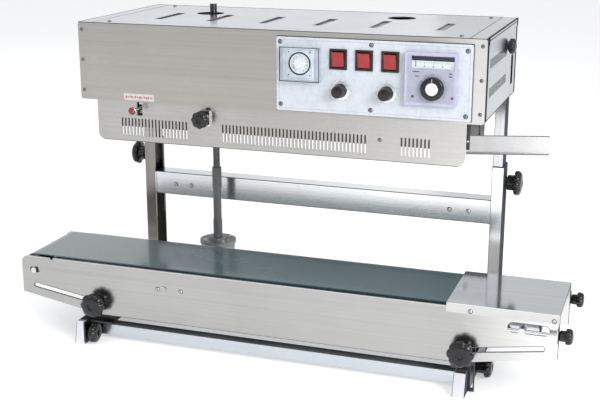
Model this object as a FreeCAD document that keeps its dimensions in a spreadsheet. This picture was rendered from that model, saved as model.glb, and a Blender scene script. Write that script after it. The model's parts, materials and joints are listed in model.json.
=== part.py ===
import FreeCAD, Part
import ast
import math
import os
import re
import Sketcher

# Continuous band sealer, upright type: a sealing head on two telescoping columns over a belt
# conveyor. Millimetres, +X to the infeed end, -Y to the operator, +Z up. The origin is on the
# floor under the middle of the machine.

Vec = FreeCAD.Vector
doc = FreeCAD.newDocument("BandSealer")

# ---------------------------------------------------------------- driving dimensions

DIMS = {
    # sealing head
    "head_left": -328.0, "head_width": 614.0, "head_front": -110.0, "head_depth": 270.0,
    "head_base": 376.0, "head_height": 116.0, "skin": 1.5, "deck_thick": 2.0,
    "rim_width": 23.0, "rim_drop": 11.5, "side_recess": 0.8, "head_corner": 4.0,
    "window_left": -4.0, "window_width": 266.0, "window_base": 388.0, "window_height": 88.0,
    "vent_first": -236.0, "vent_pitch": 84.6, "vent_last": 199.5, "vent_width": 13.0,
    "vent_front": -40.0, "vent_length": 88.0, "port_radius": 21.5, "port_right": 118.5, "port_back": 93.0,
    "slit_front": -77.0, "slit_pitch": 4.0, "slit_width": 2.2, "slit_tall": 13.0,
    "slit_low": 407.0, "slit_high": 447.0, "side_slot_y": 121.0, "side_slot_wide": 11.0,
    "side_slot_low": 404.0, "side_slot_high": 432.0,
    # lower guard
    "guard_left": -302.0, "guard_width": 563.0, "guard_bottom": 315.0, "guard_back": 2.0,
    "guard_round": 11.0, "slot_base": 323.5, "slot_tall": 27.0, "slot_wide": 2.4,
    "slot_pitch": 5.55, "slot_a": -261.0, "slot_b": -97.0, "slot_c": 172.0,
    "lever_slot_x": -231.5, "lever_slot_wide": 9.0, "lever_slot_low": 355.0,
    # control panel and instruments
    "panel_left": -10.3, "panel_width": 278.8, "panel_base": 379.5, "panel_height": 104.5,
    "panel_thick": 4.0, "panel_skin": 1.5,
    "ctl_left": 177.7, "ctl_base": 400.1, "ctl_size": 72.0, "ctl_proud": 9.0,
    "ctl_body": 67.0, "ctl_deep": 74.0, "dial_x": 216.9, "dial_z": 424.0, "dial_radius": 16.0,
    "dial_thick": 8.0, "scale_left": 186.9, "scale_width": 59.1, "scale_base": 450.5,
    "scale_height": 17.0,
    "timer_left": 0.0, "timer_base": 424.5, "timer_size": 46.0, "timer_proud": 14.0,
    "timer_body": 42.0, "timer_deep": 58.0,
    "rocker_first": 81.1, "rocker_pitch": 37.1, "rocker_z": 456.0, "bezel_width": 25.0,
    "bezel_height": 28.6, "bezel_proud": 2.0, "bezel_deep": 20.0, "key_width": 17.0,
    "key_height": 20.4, "pot_first": 84.4, "pot_pitch": 66.5, "pot_z": 412.5,
    "pot_radius": 9.2, "pot_skirt": 11.6, "pot_length": 18.0,
    # columns
    "col_centre": 297.5, "col_middle": -21.0, "col_width": 18.0, "col_depth": 38.0,
    "col_front": 91.0, "col_wall": 2.0, "col_top": 270.0, "col_gap": 0.4, "inner_foot": 134.0,
    "inner_width": 15.0, "knob_y": 107.0, "knob_z": 243.0, "nut_radius": 7.5, "nut_thick": 3.5,
    "beam_base": 177.0, "beam_height": 38.5, "beam_depth": 30.0, "beam_skin": 1.5,
    # feet
    "foot_width": 17.0, "foot_height": 34.0, "foot_front": -162.0, "foot_lean": 8.0,
    "foot_rear": 180.0, "foot_wall": 2.0, "foot_solid": 14.0, "tube_size": 18.0,
    "tube_front": -141.0, "tube_base": 8.5, "tube_wall": 1.5,
    # conveyor
    "con_front": -150.0, "con_rear": -14.0, "con_skin": 2.0, "con_left": -427.0,
    "con_right": 407.0, "con_top": 127.5, "con_low": 44.6, "con_left_low": 67.4,
    "con_right_low": 68.5, "kink_left": -292.5, "kink_right": 271.0, "con_round": 11.0,
    "flange_start": -371.0, "flange_end": 405.0, "flange_wide": 5.0, "bed_left": -375.0,
    "bed_right": 318.0, "bed_top": 128.2, "bed_skin": 1.5,
    "belt_front": -143.0, "belt_wide": 120.0, "belt_thick": 2.0, "axle_z": 105.5,
    "roll_left": -404.4, "roll_right": 357.6, "belt_inner": 23.0, "roll_gap": 0.3,
    "axle_radius": 4.4, "tension_radius": 5.0, "tension_slot_left": 338.0,
    "tension_slot_right": 394.0, "tension_slot_half": 6.8, "rod_radius": 2.5,
    "rod_y_front": -156.0, "rod_y_rear": -8.0, "tab_out": 14.0, "tab_low": 96.0,
    "clamp_left": -295.5, "clamp_right": 277.0, "clamp_z": 64.0, "clamp_slot_half": 3.4,
    "clamp_run": 108.0, "clamp_rise": 16.5,
    "cover_left": 252.0, "cover_top": 132.5, "cover_drop": 13.5, "cover_skin": 1.5,
    "shaft_x": -182.0, "shaft_y": 62.6, "drive_z": 98.5, "drive_radius": 15.7,
    "drive_journal": 5.0, "fit": 0.08, "house_half": 21.0, "house_top": 116.0,
    "house_base": 78.0, "dome_radius": 30.0, "collar_radius": 14.5, "collar_top": 120.0,
    # telescopic drive
    "rod_r": 5.5, "rod_low": 165.0, "rod_top": 507.0, "sleeve_stub": 6.0,
    "sleeve_mid": 6.8, "sleeve_rib": 7.6, "sleeve_collar": 7.8, "sleeve_top": 240.0,
    # brackets
    "brk_low": 34.0, "brk_skin": 2.5, "brk_top": 86.0, "brk_front": -147.0,
    "brk_rear": -18.0, "brk_slot_half": 3.3, "brk_slot_low": 53.0, "brk_slot_high": 80.0,
    # star knobs
    "wide_flange": 19.5, "wide_body": 12.0, "wide_body_len": 11.5, "wide_flange_len": 9.0,
    "wide_dome": 2.5, "wide_bite": 4.2, "big_flange": 16.5, "big_body": 11.0,
    "big_body_len": 12.0, "big_flange_len": 8.0, "big_dome": 2.5, "big_bite": 3.2,
    "big_bolt": 3.0, "small_flange": 11.5, "small_body": 7.5, "small_body_len": 8.5,
    "small_flange_len": 7.5, "small_dome": 2.0, "small_bite": 2.6, "mid_flange": 13.0,
    "mid_body": 8.5, "mid_body_len": 7.0, "mid_flange_len": 7.5, "mid_dome": 2.0,
    "mid_bite": 2.9,
    # sealing parts under the head
    "seal_y": -69.0, "wheel_radius": 17.0, "wheel_gap": 0.3, "band_thick": 0.7,
    "band_half_gap": 0.4, "wheel_base": 336.0, "wheel_tall": 16.0, "band_base": 337.0,
    "band_tall": 14.0, "wheel_left": -268.0, "wheel_right": 222.0, "spindle": 4.0,
    "spindle_top": 384.0, "press_x": -127.0, "press_z": 358.0, "press_radius": 12.0,
    "heat_left": 72.0, "cool_left": -58.0, "heat_long": 80.0, "cool_long": 100.0,
    "block_base": 334.0, "block_deep": 13.0,
    "guide_left": 262.0, "guide_long": 112.0, "guide_base": 334.5, "guide_tall": 25.5,
    "guide_skin": 1.5, "guide_lip": 6.0, "guide_turn": 16.0, "guide_front": -106.0,
    "guide_rear": -58.0, "guide_step": 6.0,
    "lever_pivot_y": -92.0, "lever_pivot_z": 364.0, "ball_radius": 6.0, "lever_reach": 39.0,
    # gear motor inside the head
    "motor_radius": 31.0, "motor_long": 118.0, "motor_z": 424.0, "gear_half": 30.0,
}

sheet = doc.addObject("Spreadsheet::Sheet", "Dims")
for row, (alias, size) in enumerate(DIMS.items(), start=1):
    sheet.set(f"A{row}", alias)
    sheet.set(f"B{row}", str(size))
    sheet.setAlias(f"B{row}", alias)
doc.recompute()

# ---------------------------------------------------------------- expressions

WORD = re.compile(r"[a-z][a-z_]{2,}")


def tree_value(node):
    """Number for a parsed sum, difference, product or quotient of named dimensions."""
    if isinstance(node, ast.Constant):
        return float(node.value)
    if isinstance(node, ast.Name):
        return DIMS[node.id]
    if isinstance(node, ast.UnaryOp):
        return -tree_value(node.operand)
    left, right = tree_value(node.left), tree_value(node.right)
    if isinstance(node.op, ast.Add):
        return left + right
    if isinstance(node.op, ast.Sub):
        return left - right
    if isinstance(node.op, ast.Mult):
        return left * right
    return left / right


def num(text):
    """Numeric value of a dimension formula."""
    return tree_value(ast.parse(str(text)).body[0].value)


def link(text):
    """The same formula, pointing at the spreadsheet."""
    return WORD.sub(lambda hit: "Dims." + hit.group(0), str(text))


def bind(obj, prop, text):
    obj.setExpression(prop, link(text))


def place(obj, at, rotation=None):
    """Bind an object's position to formulas, with an optional fixed rotation."""
    base = Vec(*[num(part) for part in at])
    obj.Placement = FreeCAD.Placement(base, rotation or FreeCAD.Rotation())
    for letter, part in zip("xyz", at):
        bind(obj, "Placement.Base." + letter, part)
    return obj


ALONG = {
    "x": FreeCAD.Rotation(Vec(0, 1, 0), 90),
    "-x": FreeCAD.Rotation(Vec(0, 1, 0), -90),
    "y": FreeCAD.Rotation(Vec(1, 0, 0), -90),
    "-y": FreeCAD.Rotation(Vec(1, 0, 0), 90),
    "z": FreeCAD.Rotation(),
}

# ---------------------------------------------------------------- solids and booleans


def box(name, at, size):
    obj = doc.addObject("Part::Box", name)
    for prop, text in zip(("Length", "Width", "Height"), size):
        bind(obj, prop, text)
    return place(obj, at)


def rod(name, axis, at, radius, length):
    obj = doc.addObject("Part::Cylinder", name)
    bind(obj, "Radius", radius)
    bind(obj, "Height", length)
    return place(obj, at, ALONG[axis])


def ball(name, at, radius):
    obj = doc.addObject("Part::Sphere", name)
    bind(obj, "Radius", radius)
    return place(obj, at)


def join(name, *parts):
    obj = doc.addObject("Part::MultiFuse", name)
    obj.Shapes = list(parts)
    obj.Refine = True
    return obj


def cut(name, base, *tools):
    obj = doc.addObject("Part::Cut", name)
    obj.Base = base
    obj.Tool = tools[0] if len(tools) == 1 else join(name + "_tools", *tools)
    return obj


def together(name, *parts):
    """Several separate solids of one kind in one node."""
    obj = doc.addObject("Part::Compound", name)
    obj.Links = list(parts)
    return obj


# ---------------------------------------------------------------- sketches and features


def body_at(name, at=("0", "0", "0"), rotation=None):
    obj = doc.addObject("PartDesign::Body", name)
    return place(obj, at, rotation)


def plane_of(body, role):
    return next(f for f in body.Origin.OriginFeatures if f.Role == role)


def sketch_on(body, role, name, offset="0"):
    sk = body.newObject("Sketcher::SketchObject", name)
    sk.AttachmentSupport = [(plane_of(body, role), "")]
    sk.MapMode = "FlatFace"
    if offset != "0":
        sk.AttachmentOffset = FreeCAD.Placement(Vec(0, 0, num(offset)), FreeCAD.Rotation())
        bind(sk, "AttachmentOffset.Base.z", offset)
    return sk


def pin_point(sk, geo, pos, x, y):
    """Fix one point of the sketch at formula coordinates."""
    for kind, text in (("DistanceX", x), ("DistanceY", y)):
        index = sk.addConstraint(Sketcher.Constraint(kind, -1, 1, geo, pos, num(text)))
        if WORD.search(str(text)):
            sk.setExpression(f"Constraints[{index}]", link(text))


def outline(sk, points):
    """Closed polygon through formula points."""
    spots = [Vec(num(x), num(y), 0) for x, y in points]
    first = sk.GeometryCount
    count = len(points)
    for i in range(count):
        sk.addGeometry(Part.LineSegment(spots[i], spots[(i + 1) % count]), False)
    for i in range(count):
        follower = first + (i + 1) % count
        sk.addConstraint(Sketcher.Constraint("Coincident", first + i, 2, follower, 1))
    for i, (x, y) in enumerate(points):
        pin_point(sk, first + i, 1, x, y)


def block(sk, x, y, wide, tall):
    """Rectangle from its lower left corner."""
    outline(sk, [(x, y), (f"{x} + {wide}", y), (f"{x} + {wide}", f"{y} + {tall}"),
                 (x, f"{y} + {tall}")])


def ring(sk, x, y, radius):
    geo = sk.addGeometry(Part.Circle(Vec(num(x), num(y), 0), Vec(0, 0, 1), num(radius)), False)
    pin_point(sk, geo, 3, x, y)
    index = sk.addConstraint(Sketcher.Constraint("Radius", geo, num(radius)))
    sk.setExpression(f"Constraints[{index}]", link(radius))


def long_hole(sk, start, end, half):
    """Round-ended slot between two centres."""
    a = Vec(num(start[0]), num(start[1]), 0)
    b = Vec(num(end[0]), num(end[1]), 0)
    r = num(half)
    turn = math.atan2(b.y - a.y, b.x - a.x)
    quarter = math.pi / 2
    up = Vec(0, 0, 1)
    arc_a = sk.addGeometry(
        Part.ArcOfCircle(Part.Circle(a, up, r), turn + quarter, turn + 3 * quarter), False)
    arc_b = sk.addGeometry(
        Part.ArcOfCircle(Part.Circle(b, up, r), turn - quarter, turn + quarter), False)
    side = Vec(-math.sin(turn), math.cos(turn), 0) * r
    top = sk.addGeometry(Part.LineSegment(b + side, a + side), False)
    low = sk.addGeometry(Part.LineSegment(a - side, b - side), False)
    for one, pos_one, two, pos_two in ((arc_a, 1, top, 2), (arc_b, 2, top, 1),
                                       (arc_a, 2, low, 1), (arc_b, 1, low, 2)):
        sk.addConstraint(Sketcher.Constraint("Tangent", one, pos_one, two, pos_two))
    pin_point(sk, arc_a, 3, *start)
    pin_point(sk, arc_b, 3, *end)
    index = sk.addConstraint(Sketcher.Constraint("Radius", arc_a, r))
    sk.setExpression(f"Constraints[{index}]", link(half))
    sk.addConstraint(Sketcher.Constraint("Equal", arc_a, arc_b))


def pad(body, sk, length, flip=False):
    obj = body.newObject("PartDesign::Pad", sk.Name + "_pad")
    obj.Profile = sk
    bind(obj, "Length", length)
    obj.Reversed = flip
    sk.Visibility = False
    return obj


def pocket(body, sk, length=None, flip=False, both=False):
    """Cut along the sketch normal or against it; without a length the cut goes right through."""
    obj = body.newObject("PartDesign::Pocket", sk.Name + "_pocket")
    obj.Profile = sk
    if length is None:
        obj.Type = 1
    else:
        bind(obj, "Length", length)
    obj.Reversed = flip
    obj.Midplane = both
    sk.Visibility = False
    return obj


def revolve(body, sk, groove=False):
    kind = "PartDesign::Groove" if groove else "PartDesign::Revolution"
    obj = body.newObject(kind, sk.Name + "_turn")
    obj.Profile = sk
    obj.ReferenceAxis = (sk, ["V_Axis"])
    obj.Angle = 360
    sk.Visibility = False
    return obj


def round_edges(body, base, radius, wanted):
    """Fillet the edges of a feature that a test picks."""
    doc.recompute()
    names = [f"Edge{i}" for i, e in enumerate(base.Shape.Edges, start=1) if wanted(e)]
    obj = body.newObject("PartDesign::Fillet", body.Name + "_round")
    obj.Base = (base, names)
    bind(obj, "Radius", radius)
    body.Tip = obj
    return obj


def row_of(body, feature, sk, count, pitch, axis="H_Axis"):
    obj = body.newObject("PartDesign::LinearPattern", feature.Name + "_row")
    obj.Originals = [feature]
    obj.Direction = (sk, [axis])
    bind(obj, "Length", f"{count - 1} * {pitch}")
    obj.Occurrences = count
    body.Tip = obj
    return obj


def is_upright(edge):
    ends = edge.Vertexes
    if len(ends) != 2:
        return False
    span = ends[1].Point - ends[0].Point
    return abs(span.z) > 0.9 * span.Length


def along_y(edge):
    ends = edge.Vertexes
    if len(ends) != 2:
        return False
    span = ends[1].Point - ends[0].Point
    return abs(span.y) > 0.99 * span.Length


# ---------------------------------------------------------------- shared shapes


def star_knob(name, at, axis, size, reach, standoff="1", body_len=None):
    """Scalloped clamp knob with its screw; local +Z points away from the machine."""
    body = body_at(name, at, ALONG[axis])
    bolt = "rod_radius" if size in ("small", "mid") else "big_bolt"
    hub, rim = f"{size}_body", f"{size}_flange"
    base = body_len or f"{size}_body_len"
    rise = f"{standoff} + {base}"
    crown = f"{rise} + {size}_flange_len"
    profile = sketch_on(body, "XZ_Plane", name + "_profile")
    outline(profile, [
        ("0", f"-({reach})"), (bolt, f"-({reach})"), (bolt, standoff), (f"{hub} - 1", standoff),
        (hub, f"{standoff} + 1"), (hub, rise), (f"{rim} - 0.8", rise), (rim, f"{rise} + 0.8"),
        (rim, f"{crown} - 1.5"), (f"{rim} - 2.5", crown), (f"{rim} - 4.5", f"{crown} + {size}_dome"),
        ("0", f"{crown} + {size}_dome"),
    ])
    revolve(body, profile)
    notch = sketch_on(body, "XY_Plane", name + "_notch")
    ring(notch, f"{rim} + {size}_bite / 2", "0", f"{size}_bite")
    bite = pocket(body, notch, None, flip=True)
    rosette = body.newObject("PartDesign::PolarPattern", name + "_lobes")
    rosette.Originals = [bite]
    rosette.Axis = (notch, ["N_Axis"])
    rosette.Angle = 360
    rosette.Occurrences = 10 if size == "big" else 8
    body.Tip = rosette
    return body


def turned(name, at, axis, points):
    """Round part turned about its own axis; local +Z is the axis."""
    body = body_at(name, at, ALONG[axis])
    sk = sketch_on(body, "XZ_Plane", name + "_profile")
    outline(sk, points)
    revolve(body, sk)
    return body


def loop_of(name, axis, near, far, outer, inner, low, tall):
    """Endless flat loop round two wheels: near and far are the wheel centres in the loop plane."""
    rings = []
    for tag, radius in (("outer", outer), ("inner", inner)):
        if axis == "z":
            span = box(f"{name}_{tag}_span", (near[0], f"{near[1]} - ({radius})", low),
                       (f"{far[0]} - ({near[0]})", f"2 * ({radius})", tall))
            ends = [rod(f"{name}_{tag}_{side}", "z", (spot[0], spot[1], low), radius, tall)
                    for side, spot in (("near", near), ("far", far))]
        else:
            span = box(f"{name}_{tag}_span", (near[0], low, f"{near[1]} - ({radius})"),
                       (f"{far[0]} - ({near[0]})", tall, f"2 * ({radius})"))
            ends = [rod(f"{name}_{tag}_{side}", "y", (spot[0], low, spot[1]), radius, tall)
                    for side, spot in (("near", near), ("far", far))]
        rings.append(join(f"{name}_{tag}", span, *ends))
    return cut(name, rings[0], rings[1])


NODES = []


def keep(*objects):
    NODES.extend(objects)


LEFT_COL = "col_middle - col_centre"
RIGHT_COL = "col_middle + col_centre"

# ---------------------------------------------------------------- base frame

for side, centre in (("left", LEFT_COL), ("right", RIGHT_COL)):
    foot = body_at(f"{side}_foot", (f"{centre} - foot_width / 2", "0", "0"))
    profile = sketch_on(foot, "YZ_Plane", f"{side}_foot_profile")
    outline(profile, [("foot_front", "foot_height"), ("foot_front - foot_lean", "0"),
                      ("foot_rear", "0"), ("foot_rear", "foot_height")])
    bar = pad(foot, profile, "foot_width")
    trough = sketch_on(foot, "XY_Plane", f"{side}_foot_trough")
    block(trough, "foot_wall", "foot_front + foot_solid", "foot_width - 2 * foot_wall",
          "foot_rear - foot_front - foot_solid - foot_wall")
    hollow = pocket(foot, trough, "foot_height - foot_wall", flip=True)
    bolt_y = "-158.5" if side == "left" else "-88"
    hole = sketch_on(foot, "YZ_Plane", f"{side}_foot_bolt_hole", "foot_width")
    ring(hole, bolt_y, "17", "big_bolt + fit")
    bore = pocket(foot, hole, "9")
    round_edges(foot, bore, "1.5", lambda e: (
        along_y(e) and e.BoundBox.ZMin > 33.5 and e.BoundBox.YLength > 300))
    keep(foot)

tube = body_at("front_cross_tube", (f"{LEFT_COL} + foot_width / 2", "0", "0"))
profile = sketch_on(tube, "YZ_Plane", "front_cross_tube_profile")
block(profile, "tube_front", "tube_base", "tube_size", "tube_size")
block(profile, "tube_front + tube_wall", "tube_base + tube_wall", "tube_size - 2 * tube_wall",
      "tube_size - 2 * tube_wall")
pad(tube, profile, "2 * col_centre - foot_width")
keep(tube)


def channel(body, name, sign, offset, width, front, depth, wall):
    """C section in plan, open towards the middle of the machine."""
    web = f"{offset}"
    sk = sketch_on(body, "XY_Plane", name)
    s = "" if sign > 0 else "-"
    back = f"{front} + {depth}"
    xs = [f"{s}({web})", f"{s}({web} + {width})", f"{s}({web} + {wall})"]
    outline(sk, [
        (xs[0], front), (xs[1], front), (xs[1], f"{front} + {wall}"), (xs[2], f"{front} + {wall}"),
        (xs[2], f"{back} - {wall}"), (xs[1], f"{back} - {wall}"), (xs[1], back), (xs[0], back),
    ])
    return sk


for side, centre, sign in (("left", LEFT_COL, 1), ("right", RIGHT_COL, -1)):
    outer_face = f"{centre} - {sign} * col_width / 2"
    outer = body_at(f"{side}_outer_column", (outer_face, "0", "foot_height"))
    sk = channel(outer, f"{side}_outer_profile", sign, "0", "col_width", "col_front",
                 "col_depth", "col_wall")
    pad(outer, sk, "col_top - foot_height")
    boss = sketch_on(outer, "YZ_Plane", f"{side}_nut_profile")
    hexagon = []
    for corner in range(6):
        a = math.radians(60 * corner)
        hexagon.append((f"knob_y + nut_radius * {math.cos(a):.6f}",
                        f"knob_z - foot_height + nut_radius * {math.sin(a):.6f}"))
    outline(boss, hexagon)
    pad(outer, boss, "nut_thick", flip=sign > 0)
    hole = sketch_on(outer, "YZ_Plane", f"{side}_nut_bore")
    ring(hole, "knob_y", "knob_z - foot_height", "big_bolt + fit")
    pocket(outer, hole, "40", both=True)

    inner = body_at(f"{side}_inner_column", (outer_face, "0", "inner_foot"))
    sk = channel(inner, f"{side}_inner_profile", sign, "col_wall + col_gap", "inner_width",
                 "col_front + col_wall + col_gap", "col_depth - 2 * col_wall - 2 * col_gap",
                 "col_wall")
    pad(inner, sk, "head_base - inner_foot")
    keep(outer, inner)

beam_left = f"{LEFT_COL} + col_width / 2"
beam = body_at("column_crossbeam", (beam_left, "0", "beam_base"))
sk = sketch_on(beam, "YZ_Plane", "beam_profile")
FRONT = "col_front + col_wall + 0.3"
outline(sk, [
    (FRONT, "0"), (f"{FRONT} + beam_depth", "0"), (f"{FRONT} + beam_depth", "beam_skin"),
    (f"{FRONT} + beam_skin", "beam_skin"), (f"{FRONT} + beam_skin", "beam_height - beam_skin"),
    (f"{FRONT} + beam_depth", "beam_height - beam_skin"), (f"{FRONT} + beam_depth", "beam_height"),
    (FRONT, "beam_height"),
])
pad(beam, sk, "2 * col_centre - col_width")
for tag, offset in (("near", "0"), ("far", "2 * col_centre - col_width - beam_skin")):
    end = sketch_on(beam, "YZ_Plane", f"beam_end_{tag}", offset)
    block(end, "col_front", "0", "col_depth", "beam_height")
    pad(beam, end, "beam_skin")
keep(beam)

for side, spot, axis in (("left", f"{LEFT_COL} - col_width / 2 - nut_thick", "-x"),
                         ("right", f"{RIGHT_COL} + col_width / 2 + nut_thick", "x")):
    keep(star_knob(f"{side}_column_knob", (spot, "knob_y", "knob_z"), axis, "wide",
                   "nut_thick + col_wall - 0.1", "0.5"))

# ---------------------------------------------------------------- conveyor support brackets

left_brk = body_at("left_conveyor_bracket")
LB = f"{LEFT_COL} + foot_width / 2"
sk = sketch_on(left_brk, "XY_Plane", "left_bracket_shelf", "foot_height")
block(sk, LB, "-158", "42", "brk_rear + 158")
pad(left_brk, sk, "brk_skin")
sk = sketch_on(left_brk, "YZ_Plane", "left_bracket_web", LB)
TUBE_TOP = "tube_base + tube_size + 1"
outline(sk, [
    ("-172", "4"), ("tube_front - 1", "4"), ("tube_front - 1", TUBE_TOP),
    ("tube_front + tube_size + 1", TUBE_TOP), ("tube_front + tube_size + 1", "4"),
    ("brk_rear", "4"), ("brk_rear", "foot_height + brk_skin"), ("-172", "foot_height + brk_skin"),
])
pad(left_brk, sk, "brk_skin")
for tag, front in (("front", "-brk_front - brk_skin"), ("rear", "-brk_rear")):
    sk = sketch_on(left_brk, "XZ_Plane", f"left_bracket_{tag}", front)
    block(sk, "-318", "foot_height + 0.4", "50", "brk_top - foot_height - 0.4")
    pad(left_brk, sk, "brk_skin")
sk = sketch_on(left_brk, "XZ_Plane", "left_bracket_slots")
long_hole(sk, ("clamp_left", "brk_slot_low"), ("clamp_left", "brk_slot_high"), "brk_slot_half")
pocket(left_brk, sk, "400", both=True)
sk = sketch_on(left_brk, "YZ_Plane", "left_bracket_carriage_slot", LB)
long_hole(sk, ("-165", "17"), ("-150", "17"), "big_bolt + 0.3")
left_tip = pocket(left_brk, sk, "20", both=True)
keep(left_brk)

right_brk = body_at("right_conveyor_bracket")
RB = f"{RIGHT_COL} + foot_width / 2"
sk = sketch_on(right_brk, "YZ_Plane", "right_bracket_web", RB)
block(sk, "brk_front", "2", "brk_rear - brk_front", "brk_top - 50")
pad(right_brk, sk, "brk_skin")
sk = sketch_on(right_brk, "XZ_Plane", "right_bracket_front", "-brk_front - brk_skin")
outline(sk, [(RB, "2"), (f"{RB} + 9.5", "2"), (f"{RB} + 9.5", "brk_top"),
             (f"{RB} - 25", "brk_top"), (f"{RB} - 25", "foot_height + 0.4"),
             (RB, "foot_height + 0.4")])
pad(right_brk, sk, "brk_skin")
sk = sketch_on(right_brk, "XZ_Plane", "right_bracket_rear", "-brk_rear")
block(sk, f"{RB} - 25", "foot_height + 0.4", "27.5", "brk_top - foot_height - 0.4")
pad(right_brk, sk, "brk_skin")
sk = sketch_on(right_brk, "XZ_Plane", "right_bracket_slots")
long_hole(sk, ("clamp_right", "brk_slot_low"), ("clamp_right", "brk_slot_high"),
          "brk_slot_half")
long_hole(sk, (f"{RB} + 5.6", "9"), (f"{RB} + 5.6", "40"), "2")
pocket(right_brk, sk, "400", both=True)
sk = sketch_on(right_brk, "YZ_Plane", "right_bracket_carriage_slot", RB)
long_hole(sk, ("-105", "17"), ("-71", "17"), "big_bolt + 0.3")
pocket(right_brk, sk, "20", both=True)
keep(right_brk)

keep(star_knob("left_foot_knob", (f"{LB} + brk_skin", "-158.5", "17"), "x", "big",
               "brk_skin + 8", "0.5", "5"))
keep(star_knob("right_foot_knob", (f"{RB} + brk_skin", "-88", "17"), "x", "big",
               "brk_skin + 8", "0.5"))

# ---------------------------------------------------------------- conveyor


def side_plate(name, front, mirrored):
    """Conveyor side plate: tapered ends, axle and tension slots, inclined clamp slots."""
    body = body_at(name, ("0", front, "0"))
    sk = sketch_on(body, "XZ_Plane", name + "_profile")
    outline(sk, [
        ("con_left", "con_left_low"), ("kink_left", "con_low"), ("kink_right", "con_low"),
        ("con_right", "con_right_low"), ("con_right", "con_top"), ("flange_start", "con_top"),
        ("flange_start", "con_top - 2.5"), ("flange_start - 5", "con_top - 2.5"),
        ("flange_start - 5", "con_top"), ("con_left", "con_top"),
    ])
    plate = pad(body, sk, "con_skin", flip=True)
    round_edges(body, plate, "con_round", lambda e: (
        along_y(e) and e.BoundBox.XMax < -426 and e.BoundBox.ZMin > 100))
    holes = sketch_on(body, "XZ_Plane", name + "_holes")
    long_hole(holes, ("roll_left - 4", "axle_z"), ("roll_left + 4", "axle_z"),
              "axle_radius + fit")
    long_hole(holes, ("tension_slot_left + tension_slot_half", "axle_z + 1.6"),
              ("tension_slot_right - tension_slot_half", "axle_z + 1.6"), "tension_slot_half")
    long_hole(holes, ("clamp_left - clamp_run", "clamp_z + clamp_rise"),
              ("clamp_left", "clamp_z"), "clamp_slot_half")
    long_hole(holes, ("clamp_right", "clamp_z"),
              ("clamp_right + clamp_run", "clamp_z + clamp_rise"), "clamp_slot_half")
    ring(holes, "shaft_x", "drive_z", "drive_journal + fit")
    pocket(body, holes, "20", both=True)
    return body


front_plate = side_plate("conveyor_front_plate", "con_front", False)
sk = sketch_on(front_plate, "XY_Plane", "front_flange", "con_top - bed_skin")
block(sk, "flange_start", "0", "flange_end - flange_start", "flange_wide")
pad(front_plate, sk, "bed_skin")
sk = sketch_on(front_plate, "YZ_Plane", "front_tab", "con_right - con_skin")
block(sk, "-tab_out", "tab_low", "tab_out + 1", "2 * (axle_z - tab_low)")
tab = pad(front_plate, sk, "con_skin")
sk = sketch_on(front_plate, "YZ_Plane", "front_tab_hole", "con_right")
ring(sk, "rod_y_front - con_front", "axle_z", "rod_radius + fit")
pocket(front_plate, sk, "10")
keep(front_plate)

rear_plate = side_plate("conveyor_rear_plate", "con_rear - con_skin", True)
sk = sketch_on(rear_plate, "XY_Plane", "bed_sheet", "bed_top - bed_skin")
block(sk, "bed_left", "belt_front - con_rear + con_skin", "bed_right - bed_left",
      "con_rear - belt_front")
pad(rear_plate, sk, "bed_skin")
sk = sketch_on(rear_plate, "YZ_Plane", "rear_tab", "con_right - con_skin")
block(sk, "1", "tab_low", "tab_out + 1", "2 * (axle_z - tab_low)")
pad(rear_plate, sk, "con_skin")
sk = sketch_on(rear_plate, "YZ_Plane", "rear_tab_hole", "con_right")
ring(sk, "rod_y_rear - con_rear + con_skin", "axle_z", "rod_radius + fit")
pocket(rear_plate, sk, "10")
keep(rear_plate)

keep(loop_of("conveyor_belt", "y", ("roll_left", "axle_z"), ("roll_right", "axle_z"),
             "belt_inner + belt_thick", "belt_inner", "belt_front", "belt_wide"))

cover = body_at("conveyor_end_cover", ("cover_left", "0", "0"))
sk = sketch_on(cover, "YZ_Plane", "cover_profile")
CF, CR = "con_front", "con_rear"
outline(sk, [
    (f"{CF} - cover_skin", "cover_top - cover_drop"), (CF, "cover_top - cover_drop"),
    (CF, "cover_top - cover_skin"), (CR, "cover_top - cover_skin"),
    (CR, "cover_top - cover_drop"), (f"{CR} + cover_skin", "cover_top - cover_drop"),
    (f"{CR} + cover_skin", "cover_top"), (f"{CF} - cover_skin", "cover_top"),
])
pad(cover, sk, "con_right - cover_left")
keep(cover)

screw_solids = []
for i, (x, z) in enumerate((("-191", "98.4"), ("-152.7", "98.4"))):
    screw_solids.append(rod(f"plate_screw_{i}", "-y", (x, "con_front", z), "2.8", "1.8"))
for i, x in enumerate(("285.7", "399.3")):
    screw_solids.append(rod(f"cover_screw_front_{i}", "-y",
                            (x, "con_front - cover_skin", "123"), "2.6", "1.6"))
    screw_solids.append(rod(f"cover_screw_rear_{i}", "y",
                            (x, "con_rear + cover_skin", "123"), "2.6", "1.6"))
for i, x in enumerate(("clamp_left", "clamp_right")):
    head = rod(f"rear_clamp_head_{i}", "y", (x, "con_rear", "clamp_z"), "5.5", "4")
    shank = rod(f"rear_clamp_shank_{i}", "-y", (x, "con_rear", "clamp_z"), "big_bolt", "8")
    screw_solids.append(join(f"rear_clamp_{i}", head, shank))
keep(together("conveyor_screws", *screw_solids))

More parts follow.
